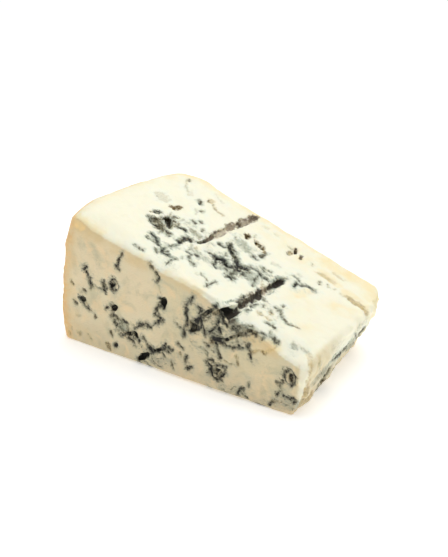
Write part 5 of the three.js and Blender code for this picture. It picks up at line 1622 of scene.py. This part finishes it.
cheese = wheel_slice()
cut_nose(cheese)
finish_with(cheese, "REMESH", mode="VOXEL", voxel_size=BLANK_VOXEL * MM)
press_to_form(cheese)
cut_hollows(cheese)
refine(cheese)
carve(cheese, *paint(cheese))
pick(cheese)
bpy.ops.object.shade_smooth()
cheese.data.materials.clear()
cheese.data.materials.append(blue_cheese())
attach(cheese, "root")
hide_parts("cheese_wedge")


# ---------------------------------------------------------------------------------------------------------
# The stage: floor, soft overhead light and camera

FLOOR_SIZE = 6.0  # in metres, as are the lights' places and widths
FLOOR_WHITE = (0.97, 0.965, 0.955, 1.0)
FLOOR_GLOW = (0.3, 0.62)  # the floor glows faintly, so that it stays white: near the wedge and far from it
FLOOR_GLOW_REACH = (0.5, 1.8)
DAYLIGHT = 0.42

# The camera stands this far round and up, and away from a point beside and above the wedge's zero.
CAMERA_TURN = math.radians(34.1)
CAMERA_HEIGHT_ANGLE = math.radians(23.05)
CAMERA_SIDE = 54.0
CAMERA_LIFT = 20.05
CAMERA_DISTANCE = 290.0
FOCAL_LENGTH_PIXELS = 850.0
IMAGE_HEIGHT_PIXELS = 557.0
SENSOR = 36.0
NEAREST_SEEN = 0.005

# Each light: its name, its place, its width and its power in watts.
LIGHTS = (
    ("overhead", (0.0, 0.15, 0.95), 1.0, 6.9),
    ("window", (0.7, 0.6, 0.35), 0.5, 0.9),
)


def floor():
    deselect_all()
    bpy.ops.mesh.primitive_plane_add(size=FLOOR_SIZE, location=(0.0, 0.0, 0.0))
    ground = bpy.context.object
    ground.name = "floor"
    shader = Shader("floor_white")
    shader.surface.inputs["Base Color"].default_value = FLOOR_WHITE
    shader.surface.inputs["Roughness"].default_value = 0.9
    shader.surface.inputs["Specular IOR Level"].default_value = 0.1
    shader.surface.inputs["Emission Color"].default_value = (1.0, 1.0, 1.0, 1.0)
    away = shader.node("ShaderNodeVectorMath", {0: shader.place}, "Value", operation="LENGTH")
    shader.link(shader.step(away, *FLOOR_GLOW_REACH, *FLOOR_GLOW), shader.surface.inputs["Emission Strength"])
    ground.data.materials.append(shader.material)


def soft_light(name, place, size, watts):
    """A round light that faces the wedge."""
    deselect_all()
    bpy.ops.object.light_add(type="AREA", location=place)
    light = bpy.context.object
    light.name = name
    light.data.shape = "DISK"
    light.data.size = size
    light.data.energy = watts
    light.rotation_mode = "QUATERNION"
    light.rotation_quaternion = (-Vector(place)).to_track_quat("-Z", "Y")


def daylight(strength):
    """Even white light from all round."""
    world = bpy.data.worlds.new("white_room")
    world.use_nodes = True
    background = world.node_tree.nodes["Background"]
    background.inputs["Color"].default_value = (1.0, 1.0, 1.0, 1.0)
    background.inputs["Strength"].default_value = strength
    bpy.context.scene.world = world


def camera():
    back = Vector((
        math.sin(CAMERA_TURN) * math.cos(CAMERA_HEIGHT_ANGLE),
        -math.cos(CAMERA_TURN) * math.cos(CAMERA_HEIGHT_ANGLE),
        math.sin(CAMERA_HEIGHT_ANGLE),
    ))
    right = Vector((math.cos(CAMERA_TURN), math.sin(CAMERA_TURN), 0.0))
    up = back.cross(right)
    place = right * CAMERA_SIDE + up * CAMERA_LIFT + back * CAMERA_DISTANCE
    deselect_all()
    bpy.ops.object.camera_add(location=to_metres([place])[0])
    eye = bpy.context.object
    eye.rotation_mode = "QUATERNION"
    eye.rotation_quaternion = back.to_track_quat("Z", "Y")
    eye.data.sensor_fit = "VERTICAL"
    eye.data.sensor_height = SENSOR
    eye.data.sensor_width = SENSOR
    eye.data.lens = FOCAL_LENGTH_PIXELS / IMAGE_HEIGHT_PIXELS * SENSOR
    eye.data.clip_start = NEAREST_SEEN
    bpy.context.scene.camera = eye


floor()
for lamp in LIGHTS:
    soft_light(*lamp)
daylight(DAYLIGHT)
camera()
bpy.context.scene.view_settings.view_transform = "Standard"
